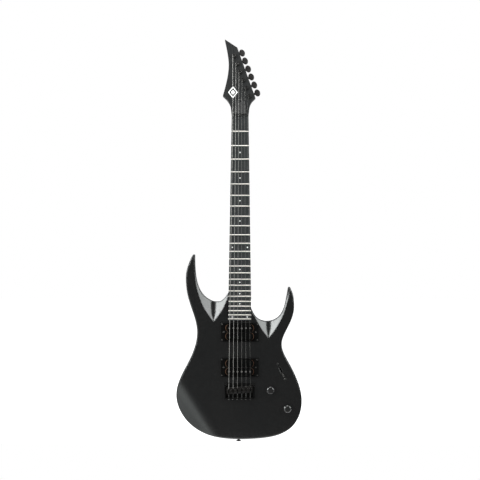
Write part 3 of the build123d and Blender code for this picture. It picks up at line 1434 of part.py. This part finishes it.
def make_output_jack():
    """Round flange, barrel and ground sleeve of the output socket, bored for the plug."""
    with BuildPart() as jack:
        with BuildSketch(JACK_PLANE):
            Circle(JACK_FLANGE_RADIUS - 0.2)
        extrude(amount=JACK_FLANGE_THICK)
        with BuildSketch(JACK_PLANE):
            Circle(JACK_BARREL_RADIUS)
        extrude(amount=-JACK_BARREL_LENGTH)
        with BuildSketch(JACK_PLANE.offset(JACK_FLANGE_THICK)):
            RegularPolygon(JACK_NUT_RADIUS, 6)
        extrude(amount=JACK_NUT_HEIGHT)
        with BuildSketch(JACK_PLANE.offset(JACK_FLANGE_THICK + JACK_NUT_HEIGHT)):
            Circle(JACK_BORE_RADIUS)
        extrude(amount=-(JACK_FLANGE_THICK + JACK_NUT_HEIGHT + JACK_BARREL_LENGTH - 2.0),
                mode=Mode.SUBTRACT)
    return jack.part


def make_strap_buttons():
    """Turned strap buttons: foot, waist and wide head."""
    with BuildPart() as buttons:
        for plane in strap_planes():
            for low, high, radius in STRAP_STEPS:
                with BuildSketch(plane.offset(low)):
                    Circle(radius)
                extrude(amount=high - low)
            with BuildSketch(plane):
                Circle(PILOT_RADIUS - 0.1)
            extrude(amount=-PILOT_DEPTH + 1.0)
    return buttons.part


def strap_planes():
    """Outward planes of the lower and upper strap buttons."""
    lower = Plane(origin=(LOWER_STRAP_X, (BODY_FACE + BODY_BACK) / 2, BODY_BOTTOM[1] + STRAP_SINK),
                  x_dir=(1, 0, 0), z_dir=(0, 0, -1))
    upper = Plane(origin=(UPPER_STRAP_XZ[0], BODY_BACK, UPPER_STRAP_XZ[1]), x_dir=(1, 0, 0),
                  z_dir=(0, 1, 0))
    return [lower, upper]


def make_neck_bolts():
    """Cup washers in the back of the body and the screws that pull the neck down."""
    seat = Plane(origin=(0, BODY_BACK, 0), x_dir=(1, 0, 0), z_dir=(0, 1, 0))
    places = [(x, -z) for x, z in NECK_BOLTS]
    cups = seat.offset(-BOLT_CUP_DEPTH)
    with BuildPart() as bolts:
        with BuildSketch(cups):
            with Locations(*places):
                Circle(BOLT_CUP_RADIUS)
        extrude(amount=BOLT_CUP_DEPTH)
        with BuildSketch(cups.offset(1.6)):
            with Locations(*places):
                Circle(BOLT_HEAD_RADIUS + 0.8)
        extrude(amount=BOLT_CUP_DEPTH, mode=Mode.SUBTRACT)
        with BuildSketch(cups):
            with Locations(*places):
                Circle(BOLT_HEAD_RADIUS)
        extrude(amount=BOLT_CUP_DEPTH - 0.6)
        with BuildSketch(cups.offset(BOLT_CUP_DEPTH - 0.6)):
            with Locations(*places):
                Rectangle(5.0, 1.0)
                Rectangle(1.0, 5.0)
        extrude(amount=-1.2, mode=Mode.SUBTRACT)
        with BuildSketch(cups):
            with Locations(*places):
                Circle(NECK_BOLT_RADIUS)
        extrude(amount=-(BODY_BACK - BOLT_CUP_DEPTH - HEEL_DEPTH + BOLT_BITE - 0.5))
    return bolts.part


def make_wiring():
    """Pickup leads through the wood and the jack's lead in the control cavity."""
    runs = [((WIRE_X, WIRE_Y, PICKUP_Z[0] - 16.0), (WIRE_X, WIRE_Y, PICKUP_Z[1] + 16.0)),
            ((WIRE_X, WIRE_Y, PICKUP_Z[1] - 12.0), WIRE_END)]
    with BuildPart() as wires:
        for start, end in runs:
            run = Vector(*end) - Vector(*start)
            with BuildSketch(Plane(origin=start, z_dir=run)):
                Circle(WIRE_RADIUS)
            extrude(amount=run.length)
        with BuildLine() as lead:
            FilletPolyline(*JACK_LEAD, radius=[4.0, 6.0])
        with BuildSketch(Plane(origin=lead.line @ 0, z_dir=lead.line % 0)):
            Circle(WIRE_RADIUS)
        sweep(path=lead.line)
    return wires.part


# ---------------------------------------------------------------- writing
def save(part, name):
    part.label = name
    export_step(part, f"parts/{name}.step")


def main():
    os.makedirs("parts", exist_ok=True)
    save(make_body(), "body")
    save(make_neck(), "neck")
    save(make_fretboard(), "fretboard")
    save(make_frets(), "frets")
    save(joined([make_face_dots(), make_side_dots()]), "position_dots")
    save(make_nut(), "nut")
    save(make_truss_rod(), "truss_rod")
    save(make_truss_rod_cover(), "truss_rod_cover")
    save(make_inlay(), "headstock_inlay")
    save(make_tuner_housings(), "tuner_housings")
    save(make_tuner_bushings(), "tuner_bushings")
    rod_cover_screw = screw(HEAD.offset(ROD_COVER_THICK), [ROD_COVER_SCREW], 2.0, 0.9, 0.95, 8.0, 0.5)
    save(joined([make_tuner_screws(), rod_cover_screw]), "headstock_screws")
    for index in range(STRING_COUNT):
        number = STRING_COUNT - index
        save(make_string(index), f"string_{number}")
        save(make_tuner_post(index), f"tuner_post_{number}")
        save(make_tuner_button(index), f"tuner_button_{number}")
    for which, place in enumerate(("neck", "bridge")):
        save(make_pickup_ring(which), f"{place}_pickup_ring")
        save(make_pickup_bobbins(which), f"{place}_pickup_bobbins")
    save(joined([make_pickup_coils(0), make_pickup_coils(1)]), "pickup_coils")
    save(joined([make_pickup_poles(0), make_pickup_poles(1)]), "pickup_poles")
    save(joined([make_pickup_baseplate(0), make_pickup_baseplate(1)]), "pickup_baseplates")
    save(make_pickup_screws(), "pickup_screws")
    save(make_bridge_plate(), "bridge_plate")
    save(make_bridge_saddles(), "bridge_saddles")
    save(make_saddle_height_screws(), "saddle_height_screws")
    save(make_intonation_screws(), "intonation_screws")
    save(make_intonation_springs(), "intonation_springs")
    save(screw(front(PLATE_TOP_Y), plate_screw_places(), 2.8, 1.4, PILOT_RADIUS - 0.05,
               PILOT_DEPTH), "bridge_plate_screws")
    save(make_string_ferrules(), "string_ferrules")
    for name, place in (("volume", VOLUME_XZ), ("tone", TONE_XZ)):
        save(make_knob(place), f"{name}_knob")
        save(make_pot_shaft(place), f"{name}_shaft")
    save(joined([make_pot(VOLUME_XZ), make_pot(TONE_XZ)]), "pots")
    save(make_selector_switch(), "selector_switch")
    save(make_selector_lever(), "selector_lever")
    save(screw(selector_plane(BODY_FACE), selector_screw_places(), 2.6, 1.2,
               SELECTOR_SCREW_RADIUS - 0.05, BODY_TOP_WALL + 2.0), "selector_screws")
    save(make_cavity_cover(), "cavity_cover")
    save(screw(Plane(origin=(0, BODY_BACK, 0), x_dir=(1, 0, 0), z_dir=(0, 1, 0)),
               [(x, -z) for x, z in COVER_SCREWS], 2.6, 1.0, PILOT_RADIUS - 0.05, PILOT_DEPTH - 2.0),
         "cavity_cover_screws")
    save(make_output_jack(), "output_jack")
    save(make_strap_buttons(), "strap_buttons")
    save(make_neck_bolts(), "neck_bolts")
    save(make_wiring(), "wiring")


if __name__ == "__main__":
    main()
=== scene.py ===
import bpy
import json
import math
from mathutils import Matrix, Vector


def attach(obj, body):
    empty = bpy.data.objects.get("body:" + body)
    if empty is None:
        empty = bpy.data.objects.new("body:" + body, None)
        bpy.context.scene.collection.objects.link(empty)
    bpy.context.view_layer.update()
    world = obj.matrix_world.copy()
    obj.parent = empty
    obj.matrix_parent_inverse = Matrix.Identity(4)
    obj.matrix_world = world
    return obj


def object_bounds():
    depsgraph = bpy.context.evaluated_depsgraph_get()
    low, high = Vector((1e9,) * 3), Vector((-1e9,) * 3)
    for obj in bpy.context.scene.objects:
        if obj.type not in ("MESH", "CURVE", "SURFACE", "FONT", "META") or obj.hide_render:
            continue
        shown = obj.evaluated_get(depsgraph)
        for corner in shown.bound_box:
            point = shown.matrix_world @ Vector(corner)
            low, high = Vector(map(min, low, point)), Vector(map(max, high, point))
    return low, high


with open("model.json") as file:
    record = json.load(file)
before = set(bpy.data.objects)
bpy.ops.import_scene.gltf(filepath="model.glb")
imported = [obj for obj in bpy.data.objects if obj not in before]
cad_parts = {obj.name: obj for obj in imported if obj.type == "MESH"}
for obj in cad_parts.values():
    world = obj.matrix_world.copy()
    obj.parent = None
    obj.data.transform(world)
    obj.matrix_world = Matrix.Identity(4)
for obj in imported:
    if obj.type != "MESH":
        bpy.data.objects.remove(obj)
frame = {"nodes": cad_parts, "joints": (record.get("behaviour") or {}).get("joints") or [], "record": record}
CAD_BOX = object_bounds()
NODES = frame["nodes"]
JOINTS = {joint["name"]: joint for joint in frame["joints"]}
SLOT_OF = {part["node"]: part["material_slot"] for part in frame["record"]["subparts"]}

# ---------------------------------------------------------------- values, in metres and watts
# Nodes whose finish differs from the one that their slot usually has.
FINISH_OF = {"pickup_screws": "small_screws", "selector_screws": "small_screws",
             "tuner_bushings": "satin_plating", "bridge_plate": "deep_plating",
             "bridge_saddles": "saddle_plating", "intonation_screws": "small_screws",
             "saddle_height_screws": "small_screws"}
COAT_ROUGHNESS = 0.1
ALONG_X = (0.1, 1.0, 1.0)
ALONG_Z = (1.0, 1.0, 0.1)
# Wound strings: the darker tone is painted shade in the grooves between the windings, the lighter tone is
# the crests.
WOUND_PAINTED_GROOVE_SHADE_TONES = ((0.20, 0.196, 0.188), (0.36, 0.352, 0.338))
PLAIN_TONES = ((0.19, 0.185, 0.178), (0.25, 0.244, 0.235))
WINDING_PITCH = {6: 0.00042, 5: 0.00036, 4: 0.00030}

# The turns of wire on the posts: string number, wire radius and number of turns.
STRINGS = ((6, 0.000585, 1.4), (5, 0.000455, 1.9), (4, 0.00033, 2.6), (3, 0.000215, 3.4),
           (2, 0.000165, 4.0), (1, 0.000125, 5.0))
POST_FACE = 0.0202
POST_WAIST = 0.0025
POST_CORE = 0.0018
WRAP_TOP = 0.0074
WRAP_START = math.radians(110.0)
WRAP_SLACK = 0.00005
WRAP_PITCH = 2.05
STEPS_PER_TURN = 28
FEWEST_STEPS = 12
WIRE_ROUNDING = 2

# The studio: name, place, aim, size, power and tint of each soft light.
COOL = (0.965, 1.0, 0.99)
SOFTBOXES = (
    ("left_box", (-2.1, -1.7, 0.55), (0.0, 0.0, -0.35), (1.3, 1.9), 112.0, COOL),
    ("right_box", (2.1, -1.7, 0.55), (0.0, 0.0, -0.35), (1.3, 1.9), 64.0, COOL),
    ("top_box", (0.0, -1.3, 1.9), (0.0, 0.0, -0.2), (1.8, 0.9), 42.0, (1.0, 1.0, 1.0)),
    ("low_box", (0.1, -2.6, -1.7), (0.0, 0.0, -0.6), (1.2, 0.4), 1.5, (1.0, 0.86, 0.79)),
    ("forearm_box", (-1.50, -2.6, -1.25), (-0.1, 0.0, -0.7), (1.7, 1.3), 12.0,
     (0.94, 1.0, 0.98)),
)
WORLD_LIGHT = 0.20
FLOOR_DROP = 0.0005
FLOOR_GLOW = 1.0
FLOOR_RADIUS = 12.0
FLOOR_FRONT = -0.04
FLOOR_SIDES = 64
SENSOR = 36.0
CAMERA_AWAY = 5.0
CAMERA_REACH = 60.0
FIELD = 1.151
CENTRE = (0.0003, -0.2966)
CAMERA_ROLL = -0.115


# ---------------------------------------------------------------- material nodes
class Recipe:
    """One Principled material, built node by node from object coordinates in metres."""

    def __init__(self, name, metallic=0.0, specular=0.5, coat=0.0):
        self.material = bpy.data.materials.new(name)
        self.material.use_nodes = True
        self.tree = self.material.node_tree
        self.shader = self.tree.nodes["Principled BSDF"]
        self.shader.inputs["Metallic"].default_value = metallic
        self.shader.inputs["Specular IOR Level"].default_value = specular
        self.shader.inputs["Coat Weight"].default_value = coat
        self.shader.inputs["Coat Roughness"].default_value = COAT_ROUGHNESS
        self.place = self.tree.nodes.new("ShaderNodeTexCoord").outputs["Object"]

    def node(self, kind, **settings):
        made = self.tree.nodes.new(kind)
        for key, value in settings.items():
            setattr(made, key, value)
        return made

    def link(self, start, end):
        self.tree.links.new(start, end)

    def noise(self, scale, detail=4.0, stretch=(1.0, 1.0, 1.0), distortion=0.0):
        """Fractal noise, about 1/scale metres across, drawn out where stretch is small."""
        mapping = self.node("ShaderNodeMapping")
        mapping.inputs["Scale"].default_value = stretch
        self.link(self.place, mapping.inputs["Vector"])
        noise = self.node("ShaderNodeTexNoise")
        noise.inputs["Scale"].default_value = scale
        noise.inputs["Detail"].default_value = detail
        noise.inputs["Distortion"].default_value = distortion
        self.link(mapping.outputs["Vector"], noise.inputs["Vector"])
        return noise.outputs["Fac"]

    def bands(self, direction, pitch):
        """Even ridges along one axis, pitch metres apart."""
        wave = self.node("ShaderNodeTexWave", bands_direction=direction)
        wave.inputs["Scale"].default_value = math.pi / 10.0 / pitch
        wave.inputs["Distortion"].default_value = 0.0
        self.link(self.place, wave.inputs["Vector"])
        return wave.outputs["Fac"]

    def spread(self, value, low, high, start=0.35, end=0.65):
        """A texture value brought into a plain range."""
        ranged = self.node("ShaderNodeMapRange")
        ranged.inputs["From Min"].default_value = start
        ranged.inputs["From Max"].default_value = end
        ranged.inputs["To Min"].default_value = low
        ranged.inputs["To Max"].default_value = high
        self.link(value, ranged.inputs["Value"])
        return ranged.outputs["Result"]

    def blend(self, value, first, second, start=0.35, end=0.65):
        """A colour between two, following a texture value."""
        mix = self.node("ShaderNodeMix", data_type="RGBA")
        mix.inputs["A"].default_value = (*first, 1.0) if isinstance(first, tuple) else (0, 0, 0, 1)
        mix.inputs["B"].default_value = (*second, 1.0)
        if not isinstance(first, tuple):
            self.link(first, mix.inputs["A"])
        self.link(self.spread(value, 0.0, 1.0, start, end), mix.inputs["Factor"])
        return mix.outputs["Result"]

    def colour(self, socket):
        self.link(socket, self.shader.inputs["Base Color"])

    def roughness(self, socket):
        self.link(socket, self.shader.inputs["Roughness"])

    def relief(self, value, height, edge=0.0):
        """Bump of a height in metres, over edges rounded in the shading."""
        bump = self.node("ShaderNodeBump")
        bump.inputs["Distance"].default_value = height
        self.link(value, bump.inputs["Height"])
        if edge:
            rounded = self.node("ShaderNodeBevel", samples=4)
            rounded.inputs["Radius"].default_value = edge
            self.link(rounded.outputs["Normal"], bump.inputs["Normal"])
        self.link(bump.outputs["Normal"], self.shader.inputs["Normal"])


def moulded(name, base, tint, rough, grain=1500.0, height=0.00003, edge=0.0, **shader):
    """A cast, moulded or plated finish: faint clouding, fine grain and softened edges."""
    recipe = Recipe(name, **shader)
    recipe.colour(recipe.blend(recipe.noise(60.0), base, tint))
    recipe.roughness(recipe.spread(recipe.noise(220.0, 6.0), rough[0], rough[1]))
    recipe.relief(recipe.noise(grain, 2.0), height, edge)
    return recipe.material


def brushed(name, base, tint, rough, stretch, edge=0.0, **shader):
    """Metal with fine drawn lines along the axis whose stretch is small."""
    recipe = Recipe(name, metallic=1.0, **shader)
    lines = recipe.noise(2500.0, 3.0, stretch)
    recipe.colour(recipe.blend(lines, base, tint))
    recipe.roughness(recipe.spread(lines, rough[0], rough[1]))
    recipe.relief(lines, 0.00001, edge)
    return recipe.material


def open_grain(name, base, streak, pore, rough, pitch, shine):
    """Stained wood: long streaks, short dark pores and a thin oiled surface."""
    recipe = Recipe(name, specular=shine)
    streaks = recipe.noise(pitch, 6.0, (1.0, 1.0, 0.045), 0.6)
    pores = recipe.noise(2600.0, 3.0, (1.0, 1.0, 0.03))
    toned = recipe.blend(streaks, base, streak)
    recipe.colour(recipe.blend(pores, toned, pore, 0.56, 0.7))
    recipe.roughness(recipe.spread(streaks, rough[0], rough[1]))
    recipe.relief(pores, -0.00006)
    return recipe.material


def satin_paint():
    """Black satin lacquer with a very slight orange peel and a few dust specks."""
    recipe = Recipe("satin_black_lacquer", specular=0.62)
    clouds = recipe.noise(14.0, 5.0)
    specks = recipe.noise(900.0, 2.0)
    toned = recipe.blend(clouds, (0.0013, 0.0014, 0.0015), (0.0022, 0.0021, 0.0021))
    recipe.colour(recipe.blend(specks, toned, (0.011, 0.011, 0.011), 0.74, 0.80))
    recipe.roughness(recipe.spread(recipe.noise(140.0, 6.0), 0.21, 0.25))
    recipe.relief(recipe.noise(420.0, 2.0), 0.000012, 0.004)
    return recipe.material


def coil_wire():
    """Enamelled copper wire laid in close turns, painted darker in the grooves between the turns as painted
    shade.
    """
    recipe = Recipe("coil_wire", specular=0.6)
    turns = recipe.bands("Y", 0.00035)
    # The darker copper tone is painted shade in the grooves between the turns, the lighter tone is their
    # crests.
    recipe.colour(recipe.blend(turns, (0.022, 0.009, 0.005), (0.095, 0.042, 0.018), 0.1, 0.8))
    recipe.roughness(recipe.spread(recipe.noise(500.0), 0.28, 0.45))
    recipe.relief(turns, 0.0001)
    return recipe.material


def string_wire(name, pitch):
    """Round wire, wound ridges where a pitch is given; on wound wire the colour follows the ridges, darker
    in the grooves as painted shade.
    """
    recipe = Recipe(name, metallic=1.0)
    ridges = recipe.bands("Z", pitch) if pitch else recipe.noise(1800.0, 3.0, (1.0, 1.0, 0.05))
    # On wound strings this paints shade into the grooves between the windings; on plain strings the tone
    # differs at random.
    recipe.colour(recipe.blend(ridges, *(WOUND_PAINTED_GROOVE_SHADE_TONES if pitch else PLAIN_TONES)))
    recipe.roughness(recipe.spread(recipe.noise(300.0), 0.46, 0.56))
    recipe.relief(ridges, 0.00002 if pitch else 0.000004)
    return recipe.material


def jacket():
    """Dull plastic insulation."""
    recipe = Recipe("wire_jacket", specular=0.4)
    recipe.colour(recipe.blend(recipe.noise(90.0), (0.012, 0.012, 0.012), (0.022, 0.021, 0.02)))
    recipe.roughness(recipe.spread(recipe.noise(700.0), 0.5, 0.7))
    recipe.relief(recipe.noise(1200.0), 0.00003)
    return recipe.material


# ---------------------------------------------------------------- which finish each node wears
def paint_nodes():
    """Put a finish on every node, and return the wound strings' and the plain strings' wire."""
    finishes = {
        "body_paint": satin_paint(),
        "neck_wood": open_grain("stained_neck", (0.0080, 0.0086, 0.0088), (0.0150, 0.0156, 0.0158),
                                (0.003, 0.003, 0.003), (0.42, 0.58), 420.0, 0.16),
        "board_wood": open_grain("black_board", (0.0075, 0.0088, 0.0094), (0.0165, 0.0185, 0.0195),
                                 (0.003, 0.003, 0.003), (0.40, 0.56), 700.0, 0.4),
        "fret_wire": brushed("fret_wire", (0.88, 0.84, 0.78), (0.95, 0.92, 0.86), (0.30, 0.40),
                             ALONG_X),
        "dots": moulded("white_dots", (0.78, 0.79, 0.78), (0.88, 0.88, 0.87), (0.2, 0.32)),
        "inlay": moulded("white_inlay", (0.80, 0.80, 0.79), (0.90, 0.90, 0.89), (0.22, 0.34)),
        "nut": moulded("black_nut", (0.006, 0.006, 0.006), (0.010, 0.010, 0.010), (0.3, 0.42),
                       edge=0.0003),
        "steel": brushed("plain_steel", (0.42, 0.42, 0.43), (0.58, 0.58, 0.57), (0.28, 0.42),
                         ALONG_Z),
        "black_plastic": moulded("black_plastic", (0.008, 0.008, 0.008), (0.013, 0.013, 0.013),
                                 (0.42, 0.56), height=0.00005, edge=0.0003),
        "black_hardware": moulded("black_plating", (0.0014, 0.0014, 0.0014),
                                  (0.0026, 0.0025, 0.0024), (0.30, 0.42), edge=0.0004,
                                  specular=0.28),
        "ring_plastic": moulded("ring_plastic", (0.0009, 0.0009, 0.0009), (0.0016, 0.0016, 0.0015),
                                (0.40, 0.52), height=0.00004, edge=0.0004, specular=0.06),
        "bobbin_plastic": moulded("bobbin_plastic", (0.0007, 0.0007, 0.0007),
                                  (0.0012, 0.0012, 0.0012), (0.34, 0.48), edge=0.0003,
                                  specular=0.06),
        "coil_copper": coil_wire(),
        "pole_steel": moulded("pole_steel", (0.16, 0.155, 0.15), (0.24, 0.235, 0.225), (0.26, 0.36),
                              edge=0.0004, metallic=1.0),
        "small_screws": moulded("small_screws", (0.07, 0.069, 0.067), (0.11, 0.108, 0.105),
                                (0.22, 0.32), edge=0.0004, metallic=1.0),
        "nickel_silver": brushed("nickel_silver", (0.020, 0.020, 0.019), (0.035, 0.034, 0.032),
                                 (0.3, 0.42), ALONG_X),
        "knob_metal": moulded("knob_metal", (0.003, 0.003, 0.003), (0.005, 0.0048, 0.0046),
                              (0.09, 0.14), height=0.00001, edge=0.0003, specular=0.6,
                              coat=0.8),
        "lever_black": moulded("lever_black", (0.030, 0.029, 0.028), (0.045, 0.043, 0.041),
                               (0.24, 0.34), edge=0.0003),
        "tuner_button_black": moulded("tuner_button", (0.015, 0.0135, 0.013),
                                      (0.023, 0.021, 0.0205), (0.22, 0.32), specular=0.36),
        "deep_plating": moulded("deep_plating", (0.0009, 0.0009, 0.0009), (0.0018, 0.0017, 0.0016),
                                (0.30, 0.42), edge=0.0004, specular=0.10),
        "saddle_plating": moulded("saddle_plating", (0.0050, 0.0044, 0.0040),
                                  (0.0080, 0.0070, 0.0064), (0.30, 0.42), edge=0.0004,
                                  specular=0.16),
        "satin_plating": moulded("satin_plating", (0.009, 0.009, 0.009), (0.013, 0.013, 0.0125),
                                 (0.36, 0.48), edge=0.0003, specular=0.24),
        "wire_jacket": jacket(),
    }
    wound = {string: string_wire(f"wound_string_{string}", pitch)
             for string, pitch in WINDING_PITCH.items()}
    plain = string_wire("plain_string", 0.0)
    for name, node in NODES.items():
        node.data.materials.clear()
        if SLOT_OF[name] == "string_steel":
            node.data.materials.append(wound.get(int(name[-1]), plain))
        else:
            node.data.materials.append(finishes[FINISH_OF.get(name, SLOT_OF[name])])
    return wound, plain


# ---------------------------------------------------------------- string turns on the posts
def tube(name, points, radius, material):
    """A round wire along points, closed at both ends."""
    curve = bpy.data.curves.new(name, "CURVE")
    curve.dimensions = "3D"
    curve.bevel_depth = radius
    curve.bevel_resolution = WIRE_ROUNDING
    curve.use_fill_caps = True
    spline = curve.splines.new("POLY")
    spline.points.add(len(points) - 1)
    for place, point in zip(spline.points, points):
        place.co = (*point, 1.0)
    made = bpy.data.objects.new(name, curve)
    bpy.context.scene.collection.objects.link(made)
    mesh = bpy.data.meshes.new_from_object(made)
    bpy.data.objects.remove(made)
    piece = bpy.data.objects.new(name, mesh)
    bpy.context.scene.collection.objects.link(piece)
    mesh.materials.clear()
    mesh.materials.append(material)
    for face in mesh.polygons:
        face.use_smooth = True
    return piece


def post_turns(number, radius, turns, material):
    """Turns below the string's own turn, going down the waist of its post to the headstock."""
    joint = JOINTS[f"tuner_post_{number}_turn"]
    axis = Vector(joint["axis"])
    across = Vector((1.0, 0.0, 0.0))
    up = axis.cross(across)
    foot = Vector(joint["pos_m"]) + axis * POST_FACE
    wrap_radius = POST_WAIST + radius + WRAP_SLACK
    first = WRAP_TOP - 2.0 * radius
    steps = max(FEWEST_STEPS, int(turns * STEPS_PER_TURN))
    points = []
    for step in range(steps + 1):
        angle = WRAP_START - 2.0 * math.pi * turns * step / steps
        height = first - WRAP_PITCH * radius * turns * step / steps
        spoke = across * math.cos(angle) + up * math.sin(angle)
        points.append(foot + spoke * wrap_radius + axis * height)
    points.append(points[-1] - spoke * (wrap_radius - POST_CORE))
    piece = tube(f"string_{number}_turns", points, radius, material)
    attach(piece, "guitar")


# ---------------------------------------------------------------- light, floor and camera
def softbox(name, place, aim, size, power, tint):
    """A rectangular area light turned towards its aim."""
    light = bpy.data.lights.new(name, "AREA")
    light.shape = "RECTANGLE"
    light.size, light.size_y = size
    light.energy = power
    light.color = tint
    lamp = bpy.data.objects.new(name, light)
    lamp.location = place
    lamp.rotation_euler = (Vector(aim) - Vector(place)).to_track_quat("-Z", "Y").to_euler()
    bpy.context.scene.collection.objects.link(lamp)


def white_world():
    """White behind the object, dimmer as a light so that the black finish stays black."""
    world = bpy.data.worlds.new("studio")
    world.use_nodes = True
    tree = world.node_tree
    tree.nodes.clear()
    seen = tree.nodes.new("ShaderNodeBackground")
    seen.inputs["Strength"].default_value = 1.0
    seen.inputs["Color"].default_value = (1.0, 1.0, 1.0, 1.0)
    lit = tree.nodes.new("ShaderNodeBackground")
    lit.inputs["Strength"].default_value = WORLD_LIGHT
    lit.inputs["Color"].default_value = (0.97, 1.0, 1.0, 1.0)
    mix = tree.nodes.new("ShaderNodeMixShader")
    path = tree.nodes.new("ShaderNodeLightPath")
    out = tree.nodes.new("ShaderNodeOutputWorld")
    tree.links.new(path.outputs["Is Camera Ray"], mix.inputs["Fac"])
    tree.links.new(lit.outputs["Background"], mix.inputs[1])
    tree.links.new(seen.outputs["Background"], mix.inputs[2])
    tree.links.new(mix.outputs["Shader"], out.inputs["Surface"])
    bpy.context.scene.world = world


def pale_floor(height):
    """A wide half-round floor under and behind the object, bright as in a white studio."""
    recipe = Recipe("pale_floor", specular=0.2)
    recipe.colour(recipe.blend(recipe.noise(3.0), (0.90, 0.90, 0.90), (0.93, 0.93, 0.93)))
    recipe.roughness(recipe.spread(recipe.noise(40.0), 0.6, 0.75))
    recipe.relief(recipe.noise(300.0), 0.00005)
    recipe.shader.inputs["Emission Color"].default_value = (1.0, 1.0, 1.0, 1.0)
    recipe.shader.inputs["Emission Strength"].default_value = FLOOR_GLOW
    turns = [math.pi * side / FLOOR_SIDES for side in range(FLOOR_SIDES + 1)]
    rim = [(FLOOR_RADIUS * math.cos(turn), FLOOR_FRONT + FLOOR_RADIUS * math.sin(turn), height)
           for turn in turns]
    mesh = bpy.data.meshes.new("floor")
    mesh.from_pydata(rim, [], [list(range(len(rim)))])
    mesh.materials.append(recipe.material)
    floor = bpy.data.objects.new("floor", mesh)
    bpy.context.scene.collection.objects.link(floor)
    floor.visible_shadow = False


def camera():
    """Straight-on long lens whose frame is the photograph's."""
    data = bpy.data.cameras.new("camera")
    data.sensor_width = SENSOR
    data.lens = SENSOR * CAMERA_AWAY / FIELD
    data.clip_end = CAMERA_REACH
    made = bpy.data.objects.new("camera", data)
    made.location = (CENTRE[0], -CAMERA_AWAY, CENTRE[1])
    made.rotation_euler = (math.radians(90.0), math.radians(CAMERA_ROLL), 0.0)
    bpy.context.scene.collection.objects.link(made)
    bpy.context.scene.camera = made


# ---------------------------------------------------------------- the scene
wound_wires, plain_wire = paint_nodes()
for number, wire_radius, turns in STRINGS:
    post_turns(number, wire_radius, turns, wound_wires.get(number, plain_wire))
for settings in SOFTBOXES:
    softbox(*settings)
white_world()
pale_floor(CAD_BOX[0].z - FLOOR_DROP)
camera()
bpy.context.scene.view_settings.view_transform = "Standard"
